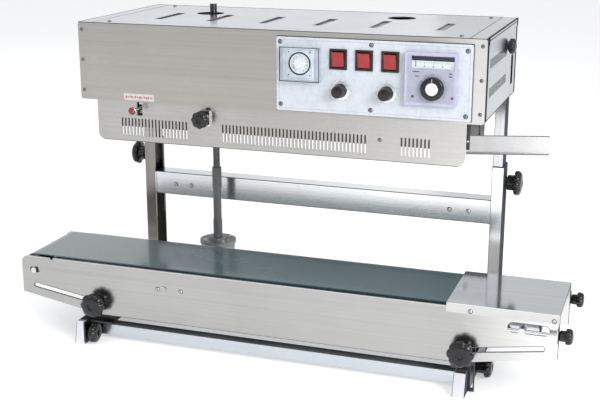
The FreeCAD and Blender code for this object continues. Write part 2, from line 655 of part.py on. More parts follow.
house = join(
    "gearbox_shell",
    box("gearbox_block", ("shaft_x - house_half", "shaft_y - house_half", "house_base"),
        ("2 * house_half", "2 * house_half", "house_top - house_base")),
    rod("gearbox_dome", "z", ("shaft_x", "shaft_y", "house_top - 6"), "dome_radius", "6"),
    rod("gearbox_collar", "z", ("shaft_x", "shaft_y", "house_top"), "collar_radius",
        "collar_top - house_top"),
    rod("gearbox_neck", "y", ("shaft_x", "con_rear", "drive_z"), "14",
        "shaft_y - house_half - con_rear"),
    rod("gearbox_foot", "y", ("shaft_x", "con_rear", "drive_z"), "24", "5"),
)
keep(cut(
    "conveyor_gearbox", house,
    box("gearbox_cavity", ("shaft_x - 16", "shaft_y - 16.5", "house_base + 4"),
        ("32", "33", "house_top - house_base - 7.5")),
    rod("gearbox_shaft_bore", "y", ("shaft_x", "con_rear - 1", "drive_z"),
        "drive_journal + fit", "shaft_y - con_rear - 10"),
    rod("gearbox_sleeve_bore", "z", ("shaft_x", "shaft_y", "house_top - 8"),
        "sleeve_stub + fit", "20"),
))

ROLL = "belt_inner - roll_gap"
keep(turned("outfeed_roller", ("roll_left", "-154", "axle_z"), "y", [
    ("0", "0"), ("axle_radius", "0"), ("axle_radius", "8"), (f"{ROLL} - 0.6", "8"),
    (ROLL, "12"), (ROLL, "132"), (f"{ROLL} - 0.6", "136"), ("axle_radius", "136"),
    ("axle_radius", "143"), ("0", "143"),
]))

# The drive shaft ends in a bevel gear that meets the one on the upright sleeve.
GEAR_AT = "shaft_y + 154"
keep(turned("drive_roller", ("shaft_x", "-154", "drive_z"), "y", [
    ("0", "3"), ("drive_journal", "3"), ("drive_journal", "8"), ("drive_radius", "8"),
    ("drive_radius", "136"), ("drive_journal", "136"), ("drive_journal", f"{GEAR_AT} - 15"),
    ("10.2", f"{GEAR_AT} - 15"), ("10.2", f"{GEAR_AT} - 10.7"), ("5.4", f"{GEAR_AT} - 5.9"),
    ("0", f"{GEAR_AT} - 5.9"),
]))

axle_core = rod("tension_axle_core", "y", ("roll_right", "-160", "axle_z"), "tension_radius",
                "156")
keep(cut(
    "tension_axle", axle_core,
    rod("tension_axle_hole_front", "x", ("roll_right - 10", "rod_y_front", "axle_z"),
        "rod_radius + 0.3", "20"),
    rod("tension_axle_hole_rear", "x", ("roll_right - 10", "rod_y_rear", "axle_z"),
        "rod_radius + 0.3", "20"),
))
keep(turned("infeed_roller", ("roll_right", "-144.4", "axle_z"), "y", [
    ("tension_radius + fit", "0"), (f"{ROLL} - 0.6", "0"), (ROLL, "4"), (ROLL, "122.4"),
    (f"{ROLL} - 0.6", "126.4"), ("tension_radius + fit", "126.4"),
]))

for tag, y in (("front", "rod_y_front"), ("rear", "rod_y_rear")):
    keep(star_knob(f"{tag}_tension_knob", ("con_right", y, "axle_z"), "x", "small",
                   "con_right - roll_right + 20", "1"))
for tag in ("left", "right"):
    keep(star_knob(f"{tag}_clamp_knob", (f"clamp_{tag}", "con_front", "clamp_z"), "-y", "wide",
                   "8"))

sleeve = turned("lower_drive_sleeve", ("shaft_x", "shaft_y", "0"), "z", [
    ("0", "drive_z + 5.9"), ("5.4", "drive_z + 5.9"), ("10.2", "drive_z + 10.7"),
    ("10.2", "drive_z + 13"), ("sleeve_stub", "drive_z + 13"),
    ("sleeve_stub", "collar_top + 0.4"), ("sleeve_rib", "collar_top + 0.4"),
    ("sleeve_rib", "150"), ("sleeve_mid", "150"), ("sleeve_mid", "205"),
    ("sleeve_collar", "205"), ("sleeve_collar", "sleeve_top"), ("rod_r + fit", "sleeve_top"),
    ("rod_r + fit", "121.6"), ("0", "121.6"),
])
rib = sketch_on(sleeve, "XZ_Plane", "sleeve_rib_groove")
block(rib, "sleeve_rib - 0.7", "124", "2", "1.6")
groove = revolve(sleeve, rib, groove=True)
row_of(sleeve, groove, rib, 8, "3.2", "V_Axis")
keep(sleeve)

# ---------------------------------------------------------------- head structure

HR = "head_left + head_width"
HB = "head_front + head_depth"
HT = "head_base + head_height"

deck = body_at("head_deck", ("0", "0", "head_base"))
sk = sketch_on(deck, "XY_Plane", "deck_profile")
block(sk, "head_left + 2.2", "head_front + 2", "head_width - 4.4", "head_depth - 3.6")
ring(sk, "shaft_x", "shaft_y", "rod_r + 3.5")
BAND_OUT = "wheel_radius + wheel_gap + band_thick"
FRONT_AXIS = f"seal_y - band_half_gap - ({BAND_OUT})"
REAR_AXIS = f"seal_y + band_half_gap + {BAND_OUT}"
for x in ("wheel_left", "wheel_right"):
    for y in (FRONT_AXIS, REAR_AXIS):
        ring(sk, x, y, "spindle + fit")
PRESS_Y = "seal_y - band_half_gap - band_thick - 0.3 - press_radius"
ring(sk, "press_x", PRESS_Y, "spindle + fit")
pad(deck, sk, "deck_thick")
for tag, x in (("a", "lever_slot_x - 9"), ("b", "lever_slot_x + 6")):
    lug = sketch_on(deck, "YZ_Plane", f"lever_lug_{tag}", x)
    block(lug, "lever_pivot_y - 5", "lever_pivot_z - head_base - 5", "10", "17.2")
    pad(deck, lug, "3")
lug_hole = sketch_on(deck, "YZ_Plane", "lever_pin_bore", "lever_slot_x - 12")
ring(lug_hole, "lever_pivot_y", "lever_pivot_z - head_base", "2.4 + fit")
pocket(deck, lug_hole, "24", flip=True)
keep(deck)

panel = body_at("head_front_panel", ("0", "head_front", "0"))
sk = sketch_on(panel, "XZ_Plane", "front_panel_profile")
block(sk, "head_left", "head_base", "head_width", "head_height")
face = pad(panel, sk, "skin", flip=True)
round_edges(panel, face, "head_corner", along_y)
sk = sketch_on(panel, "XZ_Plane", "front_panel_window")
block(sk, "window_left", "window_base", "window_width", "window_height")
pocket(panel, sk, "10", both=True)
keep(panel)

lid = body_at("head_top_cover", ("0", "0", f"{HT} - skin"))
sk = sketch_on(lid, "XY_Plane", "lid_profile")
block(sk, "head_left + rim_width + 0.3", "head_front + skin",
      "head_width - 2 * rim_width - 0.6", "head_depth - skin")
ring(sk, "shaft_x - 3.5", "shaft_y - 3", "port_radius")
ring(sk, "port_right", "port_back", "port_radius")
pad(lid, sk, "skin")
sk = sketch_on(lid, "XZ_Plane", "rear_wall_profile", f"-({HB})")
block(sk, "head_left + 2.2", f"head_base + deck_thick - ({HT}) + skin", "head_width - 4.4",
      "head_height - deck_thick - skin - rim_drop + 8")
pad(lid, sk, "skin")
sk = sketch_on(lid, "XZ_Plane", "rear_wall_joint", f"-({HB})")
block(sk, "head_left + rim_width + 0.3", "-20", "head_width - 2 * rim_width - 0.6", "21")
pad(lid, sk, "skin")
sk = sketch_on(lid, "XY_Plane", "vent_profile", "-1")
block(sk, "vent_first", "vent_front", "vent_width", "vent_length")
vent = pocket(lid, sk, "6", flip=True)
row_of(lid, vent, sk, 5, "vent_pitch")
sk = sketch_on(lid, "XY_Plane", "last_vent_profile", "-1")
block(sk, "vent_last", "vent_front", "vent_width", "vent_length")
pocket(lid, sk, "6", flip=True)
keep(lid)

for side, sign, x in (("left", 1, "head_left"), ("right", -1, HR)):
    s = "" if sign > 0 else "-"
    part = body_at(f"{side}_side_cover", (x, "head_front + skin", "0"))
    sk = sketch_on(part, "XZ_Plane", f"{side}_cover_profile")
    wall = f"{s}(side_recess + 1.2)"
    outline(sk, [
        ("0", f"{HT} - rim_drop"), ("0", HT), (f"{s}rim_width", HT),
        (f"{s}rim_width", f"{HT} - skin"), (wall, f"{HT} - skin"), (wall, "head_base + 1"),
        (f"{s}side_recess", "head_base + 1"), (f"{s}side_recess", f"{HT} - rim_drop"),
    ])
    pad(part, sk, "head_depth - skin", flip=True)
    for tag, base in (("low", "slit_low"), ("high", "slit_high")):
        sk = sketch_on(part, "YZ_Plane", f"{side}_slit_{tag}", f"{s}4")
        block(sk, "slit_front - head_front - skin", base, "slit_width", "slit_tall")
        slit = pocket(part, sk, "8", flip=sign < 0)
        row_of(part, slit, sk, 36, "slit_pitch")
    sk = sketch_on(part, "YZ_Plane", f"{side}_long_slot", f"{s}4")
    long_hole(sk, ("side_slot_y - head_front - skin", "side_slot_low"),
              ("side_slot_y - head_front - skin", "side_slot_high"), "side_slot_wide / 2")
    if side == "right":
        ring(sk, "75 - head_front - skin", "459", "rod_radius + fit")
    pocket(part, sk, "8", flip=sign < 0)
    keep(part)

guard = body_at("lower_guard", ("0", "head_front + guard_back", "0"))
sk = sketch_on(guard, "XZ_Plane", "guard_profile")
block(sk, "guard_left", "guard_bottom", "guard_width", "head_base - guard_bottom")
sheet_face = pad(guard, sk, "skin", flip=True)
round_edges(guard, sheet_face, "guard_round", lambda e: along_y(e) and e.BoundBox.ZMax < 320)
sk = sketch_on(guard, "XZ_Plane", "guard_lever_slot")
block(sk, "lever_slot_x - lever_slot_wide / 2", "lever_slot_low", "lever_slot_wide", "30")
ring(sk, "press_x", "press_z", "4")
block(sk, "press_x - 4.5", "370.3", "9", "4.2")
pocket(guard, sk, "10", both=True)
sk = sketch_on(guard, "XZ_Plane", "guard_press_block")
block(sk, "press_x - 4.5", "349.5", "9", "20")
ring(sk, "press_x", "press_z", "rod_radius + fit")
pad(guard, sk, "4")
for tag, start, count in (("a", "slot_a", 20), ("b", "slot_b", 40), ("c", "slot_c", 8)):
    sk = sketch_on(guard, "XZ_Plane", f"guard_vent_{tag}")
    long_hole(sk, (start, "slot_base + slot_wide / 2"),
              (start, "slot_base + slot_tall - slot_wide / 2"), "slot_wide / 2")
    vent = pocket(guard, sk, "10", both=True)
    row_of(guard, vent, sk, count, "slot_pitch")
keep(guard)

# ---------------------------------------------------------------- control panel

plate = body_at("control_panel", ("0", "head_front", "0"))
sk = sketch_on(plate, "XZ_Plane", "control_panel_profile")
block(sk, "panel_left", "panel_base", "panel_width", "panel_height")
face = pad(plate, sk, "panel_thick")
round_edges(plate, face, "2", along_y)
sk = sketch_on(plate, "XZ_Plane", "control_panel_tray")
block(sk, "panel_left + panel_skin", "panel_base + panel_skin",
      "panel_width - 2 * panel_skin", "panel_height - 2 * panel_skin")
pocket(plate, sk, "panel_thick - panel_skin", flip=True)
sk = sketch_on(plate, "XZ_Plane", "control_panel_cutouts")
inset = "(ctl_size - ctl_body) / 2 - 0.2"
block(sk, f"ctl_left + {inset}", f"ctl_base + {inset}", "ctl_body + 0.4", "ctl_body + 0.4")
inset = "(timer_size - timer_body) / 2 - 0.2"
block(sk, f"timer_left + {inset}", f"timer_base + {inset}", "timer_body + 0.4",
      "timer_body + 0.4")
for i in range(3):
    centre = f"rocker_first + {i} * rocker_pitch"
    block(sk, f"{centre} - bezel_width / 2 + 1.3", "rocker_z - bezel_height / 2 + 1.3",
          "bezel_width - 2.6", "bezel_height - 2.6")
for i in range(2):
    ring(sk, f"pot_first + {i} * pot_pitch", "pot_z", "3 + fit")
pocket(plate, sk, "20", both=True)
keep(plate)

FACE = "head_front - panel_thick"

ctl = body_at("temperature_controller", ("0", FACE, "0"))
sk = sketch_on(ctl, "XZ_Plane", "controller_bezel")
block(sk, "ctl_left", "ctl_base", "ctl_size", "ctl_size")
face = pad(ctl, sk, "ctl_proud")
round_edges(ctl, face, "2", along_y)
sk = sketch_on(ctl, "XZ_Plane", "controller_case")
inset = "(ctl_size - ctl_body) / 2"
block(sk, f"ctl_left + {inset}", f"ctl_base + {inset}", "ctl_body", "ctl_body")
pad(ctl, sk, "ctl_deep", flip=True)
sk = sketch_on(ctl, "XZ_Plane", "controller_window", "ctl_proud")
block(sk, "scale_left", "scale_base", "scale_width", "scale_height")
pocket(ctl, sk, "2")
sk = sketch_on(ctl, "XZ_Plane", "controller_shaft_bore", "ctl_proud")
ring(sk, "dial_x", "dial_z", "3 + fit")
pocket(ctl, sk, "7")
keep(ctl)

keep(turned("temperature_dial", ("dial_x", f"{FACE} - ctl_proud", "dial_z"), "-y", [
    ("0", "-6"), ("3", "-6"), ("3", "0.3"), ("dial_radius", "0.3"),
    ("dial_radius", "dial_thick - 2"), ("dial_radius - 1.5", "dial_thick"), ("0", "dial_thick"),
]))

timer = body_at("timer_body", ("0", FACE, "0"))
sk = sketch_on(timer, "XZ_Plane", "timer_front")
block(sk, "timer_left", "timer_base", "timer_size", "timer_size")
face = pad(timer, sk, "timer_proud")
round_edges(timer, face, "1.5", along_y)
sk = sketch_on(timer, "XZ_Plane", "timer_case")
inset = "(timer_size - timer_body) / 2"
block(sk, f"timer_left + {inset}", f"timer_base + {inset}", "timer_body", "timer_body")
pad(timer, sk, "timer_deep", flip=True)
keep(timer)

frames = []
for i, name in enumerate(("power_switch", "heater_switch", "fan_switch")):
    centre = f"rocker_first + {i} * rocker_pitch"
    rim = box(f"bezel_rim_{i}", (f"{centre} - bezel_width / 2", f"{FACE} - bezel_proud",
                                 "rocker_z - bezel_height / 2"),
              ("bezel_width", "bezel_proud", "bezel_height"))
    case = box(f"bezel_case_{i}", (f"{centre} - bezel_width / 2 + 1.5", FACE,
                                   "rocker_z - bezel_height / 2 + 1.5"),
               ("bezel_width - 3", "bezel_deep", "bezel_height - 3"))
    well = box(f"bezel_well_{i}", (f"{centre} - key_width / 2 - 0.4", f"{FACE} - 5",
                                   "rocker_z - key_height / 2 - 1.4"),
               ("key_width + 0.8", "16", "key_height + 2.8"))
    eyes = rod(f"bezel_eyes_{i}", "x",
               (f"{centre} - key_width / 2 - 1.7", f"{FACE} + 2", "rocker_z"),
               "1.5 + fit", "key_width + 3.4")
    frames.append(cut(f"bezel_{i}", join(f"bezel_blank_{i}", rim, case), well, eyes))

    key = body_at(name, (f"{centre} - key_width / 2", FACE, "rocker_z"))
    sk = sketch_on(key, "YZ_Plane", name + "_profile")
    half = "key_height / 2"
    outline(sk, [("4", f"-({half}) + 3"), ("-2.6", f"-({half})"), ("-3.6", "0"),
                 ("-7.2", half), ("2", half), ("4", f"{half} - 3"), ("7", "0")])
    pad(key, sk, "key_width")
    sk = sketch_on(key, "YZ_Plane", name + "_pivot", "-1.4")
    ring(sk, "2", "0", "1.5")
    pad(key, sk, "key_width + 2.8")
    keep(key)
keep(together("rocker_bezels", *frames))

for i, name in enumerate(("speed_knob", "seal_time_knob")):
    keep(turned(name, (f"pot_first + {i} * pot_pitch", FACE, "pot_z"), "-y", [
        ("0", "-12"), ("3", "-12"), ("3", "0.4"), ("pot_skirt", "0.4"), ("pot_skirt", "2"),
        ("pot_radius + 0.8", "3"), ("pot_radius", "pot_length - 1.2"),
        ("pot_radius - 1.2", "pot_length"), ("0", "pot_length"),
    ]))

pins = []
for i, (x, z) in enumerate((("-4.6", "477"), ("128", "477.6"), ("261.2", "475.6"),
                            ("-4.1", "388.5"), ("128", "387.4"), ("261.1", "387"))):
    pins.append(rod(f"panel_screw_{i}", "-y", (x, FACE, z), "2.6", "1.4"))
for i, (x, z) in enumerate((("-322", "481"), ("-322", "436"), ("-322", "390"),
                            ("280", "482"), ("280", "436"), ("280", "390"))):
    pins.append(rod(f"edge_screw_{i}", "-y", (x, "head_front", z), "2", "1"))
pins.append(rod("guard_screw", "-y", ("140.5", "head_front + guard_back", "344.8"), "2.2", "1.2"))
for i, (x, y) in enumerate((("-286", "-89"), ("247", "-89"), ("-286", "140"), ("247", "140"))):
    pins.append(rod(f"lid_screw_{i}", "z", (x, y, HT), "2.6", "1.4"))
keep(together("head_screws", *pins))

# ---------------------------------------------------------------- lever and clamp knobs of the head

arm = join(
    "release_lever",
    rod("lever_hub", "x", ("lever_slot_x - 5.6", "lever_pivot_y", "lever_pivot_z"), "5", "11.2"),
    rod("lever_pin", "x", ("lever_slot_x - 10", "lever_pivot_y", "lever_pivot_z"), "2.4", "20"),
    rod("lever_rod", "-y", ("lever_slot_x", "lever_pivot_y", "lever_pivot_z + 2.5"), "2.2",
        "lever_reach - ball_radius + 2"),
    ball("lever_ball", ("lever_slot_x", "lever_pivot_y - lever_reach", "lever_pivot_z + 2.5"),
         "ball_radius"),
)
keep(arm)

keep(star_knob("pressure_knob", ("press_x", "head_front + guard_back - 4", "press_z"), "-y",
               "mid", "9", "0.5"))
keep(star_knob("side_knob", (f"{HR} - side_recess", "75", "459"), "x", "small", "5", "0.5", "2"))

# ---------------------------------------------------------------- sealing parts


def wheel(name, x, y, radius, crown=0.0):
    return turned(name, (x, y, "wheel_base"), "z", [
        ("0", "0"), (f"{radius} - {crown}", "0"), (radius, "1.5"),
        (radius, "wheel_tall - 1.5"), (f"{radius} - {crown}", "wheel_tall"),
        ("spindle + 3", "wheel_tall"), ("spindle + 3", "wheel_tall + 5"),
        ("spindle", "wheel_tall + 5"), ("spindle", "spindle_top - wheel_base"),
        ("0", "spindle_top - wheel_base"),
    ])


keep(wheel("front_drive_wheel", "wheel_left", FRONT_AXIS, "wheel_radius", 0.5))
keep(wheel("rear_drive_wheel", "wheel_left", REAR_AXIS, "wheel_radius", 0.5))
keep(wheel("front_idler_wheel", "wheel_right", FRONT_AXIS, "wheel_radius", 0.5))
keep(wheel("rear_idler_wheel", "wheel_right", REAR_AXIS, "wheel_radius", 0.5))
keep(wheel("press_wheel", "press_x", PRESS_Y, "press_radius", 0.5))

bands = []
for tag, y in (("front", FRONT_AXIS), ("rear", REAR_AXIS)):
    bands.append(loop_of(f"{tag}_band", "z", ("wheel_left", y), ("wheel_right", y), BAND_OUT,
                         "wheel_radius + wheel_gap", "band_base", "band_tall"))
keep(together("sealing_bands", *bands))

IN_FRONT = "seal_y - band_half_gap - band_thick - 0.4 - block_deep"
IN_REAR = "seal_y + band_half_gap + band_thick + 0.4"
hot, cold = [], []
for tag, y in (("front", IN_FRONT), ("rear", IN_REAR)):
    hot.append(box(f"heating_block_{tag}", ("heat_left", y, "block_base"),
                   ("heat_long", "block_deep", "head_base - block_base")))
    fins = [box(f"cooling_gap_{tag}_{k}", (f"cool_left + {6 + 10 * k}", f"{y} - 1", "block_base + 20"),
                ("4", "block_deep + 2", "head_base - block_base - 26")) for k in range(9)]
    cold.append(cut(f"cooling_block_{tag}",
                    box(f"cooling_slab_{tag}", ("cool_left", y, "block_base"),
                        ("cool_long", "block_deep", "head_base - block_base")), *fins))
keep(together("heating_blocks", *hot))
keep(together("cooling_blocks", *cold))


def guide_rail(name, front, base, tall, length, sign):
    """Infeed rail: L section with its lip away from the bag, hung from the deck at one end."""
    s = "" if sign > 0 else "-"
    turn = FreeCAD.Rotation(Vec(0, 0, 1), num("guide_turn"))
    body = body_at(name, ("guide_left", front, "0"), turn)
    bind(body, "Placement.Rotation.Angle", "guide_turn")
    sk = sketch_on(body, "YZ_Plane", name + "_profile")
    outline(sk, [
        ("0", base), (f"{s}guide_lip", base), (f"{s}guide_lip", f"{base} + guide_skin"),
        (f"{s}guide_skin", f"{base} + guide_skin"), (f"{s}guide_skin", f"{base} + {tall}"),
        ("0", f"{base} + {tall}"),
    ])
    pad(body, sk, length)
    hanger = sketch_on(body, "XZ_Plane", name + "_hanger", "0" if sign < 0 else "-guide_skin")
    block(hanger, "0", f"{base} + {tall} - 2", "16", f"head_base - ({base}) - ({tall}) + 2")
    pad(body, hanger, "guide_skin")
    return body


keep(together(
    "infeed_guides",
    guide_rail("front_rail", "guide_front", "guide_base", "guide_tall", "guide_long", -1),
    guide_rail("rear_rail", "guide_rear", "guide_base - guide_step + 2", "guide_tall - 9",
               "guide_long - 10", 1),
))

# ---------------------------------------------------------------- drive inside the head

keep(rod("upper_drive_shaft", "z", ("shaft_x", "shaft_y", "rod_low"), "rod_r",
         "rod_top - rod_low"))
motor = join(
    "gear_motor_blank",
    box("gear_case", ("shaft_x - gear_half", "shaft_y - gear_half", "head_base + deck_thick"),
        ("2 * gear_half", "2 * gear_half", "74")),
    rod("motor_can", "x", ("shaft_x + gear_half", "shaft_y", "motor_z"), "motor_radius",
        "motor_long"),
)
keep(cut("gear_motor", motor,
         rod("gear_case_bore", "z", ("shaft_x", "shaft_y", "head_base"), "rod_r + fit", "100")))

# ---------------------------------------------------------------- check and export

doc.recompute()
for obj in doc.Objects:
    state = [word for word in obj.State if word in ("Invalid", "Error")]
    if state:
        raise RuntimeError(f"{obj.Name}: {state}")
for obj in doc.Objects:
    if obj.TypeId in ("PartDesign::Pocket", "PartDesign::Groove"):
        before = obj.BaseFeature.Shape.Volume
        if before - obj.Shape.Volume < 0.5:
            raise RuntimeError(f"{obj.Name} cut nothing")

names = [obj.Name for obj in NODES]
if len(set(names)) != len(names) or len(names) > 60:
    raise RuntimeError(f"{len(names)} nodes")
os.makedirs("parts", exist_ok=True)
for obj in NODES:
    shape = obj.Shape
    if shape.isNull() or not shape.isValid() or not shape.Solids:
        raise RuntimeError(f"{obj.Name}: bad shape")
    obj.Label = obj.Name
    shape.exportStep(f"parts/{obj.Name}.step")
    size = shape.BoundBox
    print(f"{obj.Name:26s} {len(shape.Solids):3d} solids  x {size.XMin:8.1f} {size.XMax:8.1f}"
          f"  y {size.YMin:8.1f} {size.YMax:8.1f}  z {size.ZMin:7.1f} {size.ZMax:7.1f}")
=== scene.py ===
import json
import math

import bmesh
import bpy
from mathutils import Matrix, Vector


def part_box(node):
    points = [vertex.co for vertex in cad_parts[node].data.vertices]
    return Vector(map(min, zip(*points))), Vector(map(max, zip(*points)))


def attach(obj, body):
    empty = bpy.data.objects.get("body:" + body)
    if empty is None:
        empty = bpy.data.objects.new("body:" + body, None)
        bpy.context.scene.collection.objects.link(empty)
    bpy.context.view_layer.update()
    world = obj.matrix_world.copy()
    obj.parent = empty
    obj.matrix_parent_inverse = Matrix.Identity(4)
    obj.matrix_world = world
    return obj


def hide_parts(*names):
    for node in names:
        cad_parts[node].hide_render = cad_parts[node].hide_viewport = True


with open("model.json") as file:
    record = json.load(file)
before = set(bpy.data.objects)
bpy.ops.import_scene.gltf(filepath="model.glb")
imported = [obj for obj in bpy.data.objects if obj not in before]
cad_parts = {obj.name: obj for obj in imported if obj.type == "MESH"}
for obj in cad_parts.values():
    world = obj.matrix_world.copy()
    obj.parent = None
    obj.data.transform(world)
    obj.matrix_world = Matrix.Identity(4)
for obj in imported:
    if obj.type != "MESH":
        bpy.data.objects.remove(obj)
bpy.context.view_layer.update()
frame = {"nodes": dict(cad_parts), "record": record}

MM = 0.001
FORWARD, BACKWARD, UPWARD = (0, -1, 0), (0, 1, 0), (0, 0, 1)
LEFTWARD, RIGHTWARD = (-1, 0, 0), (1, 0, 0)

# ------------------------------ node helpers


def new_material(name, **settings):
    """Principled material; settings are constants on the shader's own sockets."""
    mat = bpy.data.materials.new(name)
    mat.use_nodes = True
    tree = mat.node_tree
    tree.nodes.clear()
    out = tree.nodes.new("ShaderNodeOutputMaterial")
    shader = tree.nodes.new("ShaderNodeBsdfPrincipled")
    tree.links.new(shader.outputs["BSDF"], out.inputs["Surface"])
    for socket, value in settings.items():
        shader.inputs[socket.replace("_", " ")].default_value = value
    return mat, tree, shader


def coords(tree, scale=(1, 1, 1), turn=(0, 0, 0)):
    """Place of the shaded point, scaled and turned."""
    where = tree.nodes.new("ShaderNodeTexCoord")
    mapping = tree.nodes.new("ShaderNodeMapping")
    mapping.inputs["Scale"].default_value = scale
    mapping.inputs["Rotation"].default_value = turn
    tree.links.new(where.outputs["Object"], mapping.inputs["Vector"])
    return mapping.outputs["Vector"]


def place(tree):
    """X, Y and Z of the shaded point in the row frame, in metres."""
    where = tree.nodes.new("ShaderNodeTexCoord")
    split = tree.nodes.new("ShaderNodeSeparateXYZ")
    tree.links.new(where.outputs["Object"], split.inputs["Vector"])
    return split.outputs


def noise(tree, vector, scale=1.0, detail=3.0, rough=0.5):
    node = tree.nodes.new("ShaderNodeTexNoise")
    node.inputs["Scale"].default_value = scale
    node.inputs["Detail"].default_value = detail
    node.inputs["Roughness"].default_value = rough
    tree.links.new(vector, node.inputs["Vector"])
    return node.outputs["Fac"]


def remap(tree, value, low, high, start=0.3, end=0.7):
    """Value that goes from low to high while its input goes from start to end."""
    node = tree.nodes.new("ShaderNodeMapRange")
    for socket, number in (("From Min", start), ("From Max", end), ("To Min", low),
                           ("To Max", high)):
        node.inputs[socket].default_value = number
    tree.links.new(value, node.inputs["Value"])
    return node.outputs["Result"]


def tint(tree, value, dark, light, start=0.3, end=0.7):
    """Colour that goes from dark to light while its input goes from start to end."""
    node = tree.nodes.new("ShaderNodeValToRGB")
    node.color_ramp.elements[0].position = start
    node.color_ramp.elements[1].position = end
    node.color_ramp.elements[0].color = (*dark, 1)
    node.color_ramp.elements[1].color = (*light, 1)
    tree.links.new(value, node.inputs["Fac"])
    return node.outputs["Color"]


def blend(tree, factor, one, two):
    """Colour one where the factor is 0, and two where it is 1."""
    node = tree.nodes.new("ShaderNodeMix")
    node.data_type = "RGBA"
    tree.links.new(factor, node.inputs["Factor"])
    tree.links.new(one, node.inputs["A"])
    tree.links.new(two, node.inputs["B"])
    return node.outputs["Result"]


def math_node(tree, kind, one, two):
    """Sum, product or test of two items, each a number or an output."""
    node = tree.nodes.new("ShaderNodeMath")
    node.operation = kind
    for socket, item in zip(node.inputs, (one, two)):
        if isinstance(item, (int, float)):
            socket.default_value = item
        else:
            tree.links.new(item, socket)
    return node.outputs["Value"]


def weigh(tree, one, two, share):
    """Mean of two values: one counts by its share, two by the rest."""
    return math_node(tree, "ADD", math_node(tree, "MULTIPLY", one, share),
                     math_node(tree, "MULTIPLY", two, 1.0 - share))


def dress(tree, shader, colour, rough):
    """Gives the shader its colour and roughness."""
    tree.links.new(colour, shader.inputs["Base Color"])
    tree.links.new(rough, shader.inputs["Roughness"])


def relief(tree, shader, height, strength, depth):
    """Surface relief too fine to model; depth is in metres."""
    node = tree.nodes.new("ShaderNodeBump")
    node.inputs["Strength"].default_value = strength
    node.inputs["Distance"].default_value = depth
    tree.links.new(height, node.inputs["Height"])
    tree.links.new(node.outputs["Normal"], shader.inputs["Normal"])


# ------------------------------ zones of a sheet


def above(axis, limit):
    """Test: the place lies past the limit along the axis."""
    return axis, "GREATER_THAN", limit


def below(axis, limit):
    """Test: the place lies short of the limit along the axis."""
    return axis, "LESS_THAN", limit


def zone(tree, rules):
    """Mask of the places in the row frame that meet any rule; a rule is a list of tests."""
    spot = place(tree)
    total = None
    for rule in rules:
        both = None
        for axis, kind, limit in rule:
            test = math_node(tree, kind, spot[axis], limit)
            both = math_node(tree, "MINIMUM", both, test) if both else test
        total = math_node(tree, "MAXIMUM", total, both) if total else both
    return total


# ------------------------------ kinds of surface

FINE, COARSE = 1500.0, 5.0
GRAIN = {"x": (COARSE, FINE, FINE), "y": (FINE, COARSE, FINE), "z": (FINE, FINE, COARSE)}
SPREAD = (0.34, 0.64)  # range of the mixed noise that a sheet's two colours span
# Colours of painted shade for the dark zones of the sheets, the deepest first.
DEEP_SHADE = ((0.016, 0.017, 0.020), (0.040, 0.041, 0.046))
SHADE = ((0.045, 0.048, 0.056), (0.085, 0.09, 0.10))


def brushed(name, dark, light, rough=(0.24, 0.38), grain="x", strength=0.10, shade_zones=None,
            shade_colours=DEEP_SHADE, rise=None, tone_zone=None):
    """Brushed sheet: long fine grain, broader streaks and soft handling marks.

    Zones listed as shade zones are painted shade: dark, dull, not metallic and in the shade
    colours.
    rise is (start, end, colour): painted light that brightens the sheet to colour from start to end
    along X.
    The tone zone is (rules, dark, light): a part of the sheet drawn in two other colours."""
    mat, tree, shader = new_material(name, Metallic=1.0)
    fine = noise(tree, coords(tree, GRAIN[grain]), detail=2.0, rough=0.6)
    wide = noise(tree, coords(tree, tuple(g / 6 for g in GRAIN[grain])), detail=2.0)
    smudge = noise(tree, coords(tree, (7.0, 7.0, 7.0)), detail=5.0, rough=0.62)
    streak = weigh(tree, fine, wide, 0.55)
    body = weigh(tree, streak, smudge, 0.6)
    colour = tint(tree, body, dark, light, *SPREAD)
    dullness = remap(tree, body, rough[1], rough[0])
    # Painted light: the sheet brightens along X towards the end of the rise.
    if rise:
        start, end, lit_colour = rise
        bright = tint(tree, body, tuple(0.93 * c for c in lit_colour), lit_colour, *SPREAD)
        along = remap(tree, place(tree)["X"], 0.0, 1.0, start, end)
        colour = blend(tree, along, colour, bright)
    if tone_zone:
        rules, *pair = tone_zone
        colour = blend(tree, zone(tree, rules), colour, tint(tree, body, *pair, *SPREAD))
    # Painted shade: the listed zones turn dark, dull and not metallic.
    if shade_zones:
        shade_mask = zone(tree, shade_zones)
        colour = blend(tree, shade_mask, colour, tint(tree, smudge, *shade_colours))
        dullness = math_node(tree, "MAXIMUM", dullness, math_node(tree, "MULTIPLY", shade_mask, 0.7))
        metal = math_node(tree, "SUBTRACT", 1.0, shade_mask)
        tree.links.new(metal, shader.inputs["Metallic"])
        tree.links.new(math_node(tree, "MULTIPLY", metal, 0.5), shader.inputs["Specular IOR Level"])
    dress(tree, shader, colour, dullness)
    relief(tree, shader, streak, strength, 0.2 * MM)
    return mat


def smooth_metal(name, dark, light, rough=(0.05, 0.14), scale=30.0):
    """Polished or machined metal with faint clouding and wipe marks."""
    mat, tree, shader = new_material(name, Metallic=1.0)
    cloud = noise(tree, coords(tree), scale, 5.0, 0.65)
    wipes = noise(tree, coords(tree, (40.0, 260.0, 260.0), (0.2, 0.3, 0.4)), detail=2.0)
    both = weigh(tree, cloud, wipes, 0.6)
    dress(tree, shader, tint(tree, both, dark, light), remap(tree, both, *rough))
    relief(tree, shader, both, 0.03, 0.3 * MM)
    return mat


def cast(name, dark, light, rough=(0.42, 0.62)):
    """Cast or milled alloy: fine sandy skin over broader waviness."""
    mat, tree, shader = new_material(name, Metallic=0.9)
    sand = noise(tree, coords(tree), 1400.0, 3.0, 0.7)
    wave = noise(tree, coords(tree), 60.0, 4.0)
    dress(tree, shader, tint(tree, wave, dark, light), remap(tree, sand, *rough))
    relief(tree, shader, sand, 0.35, 0.4 * MM)
    return mat


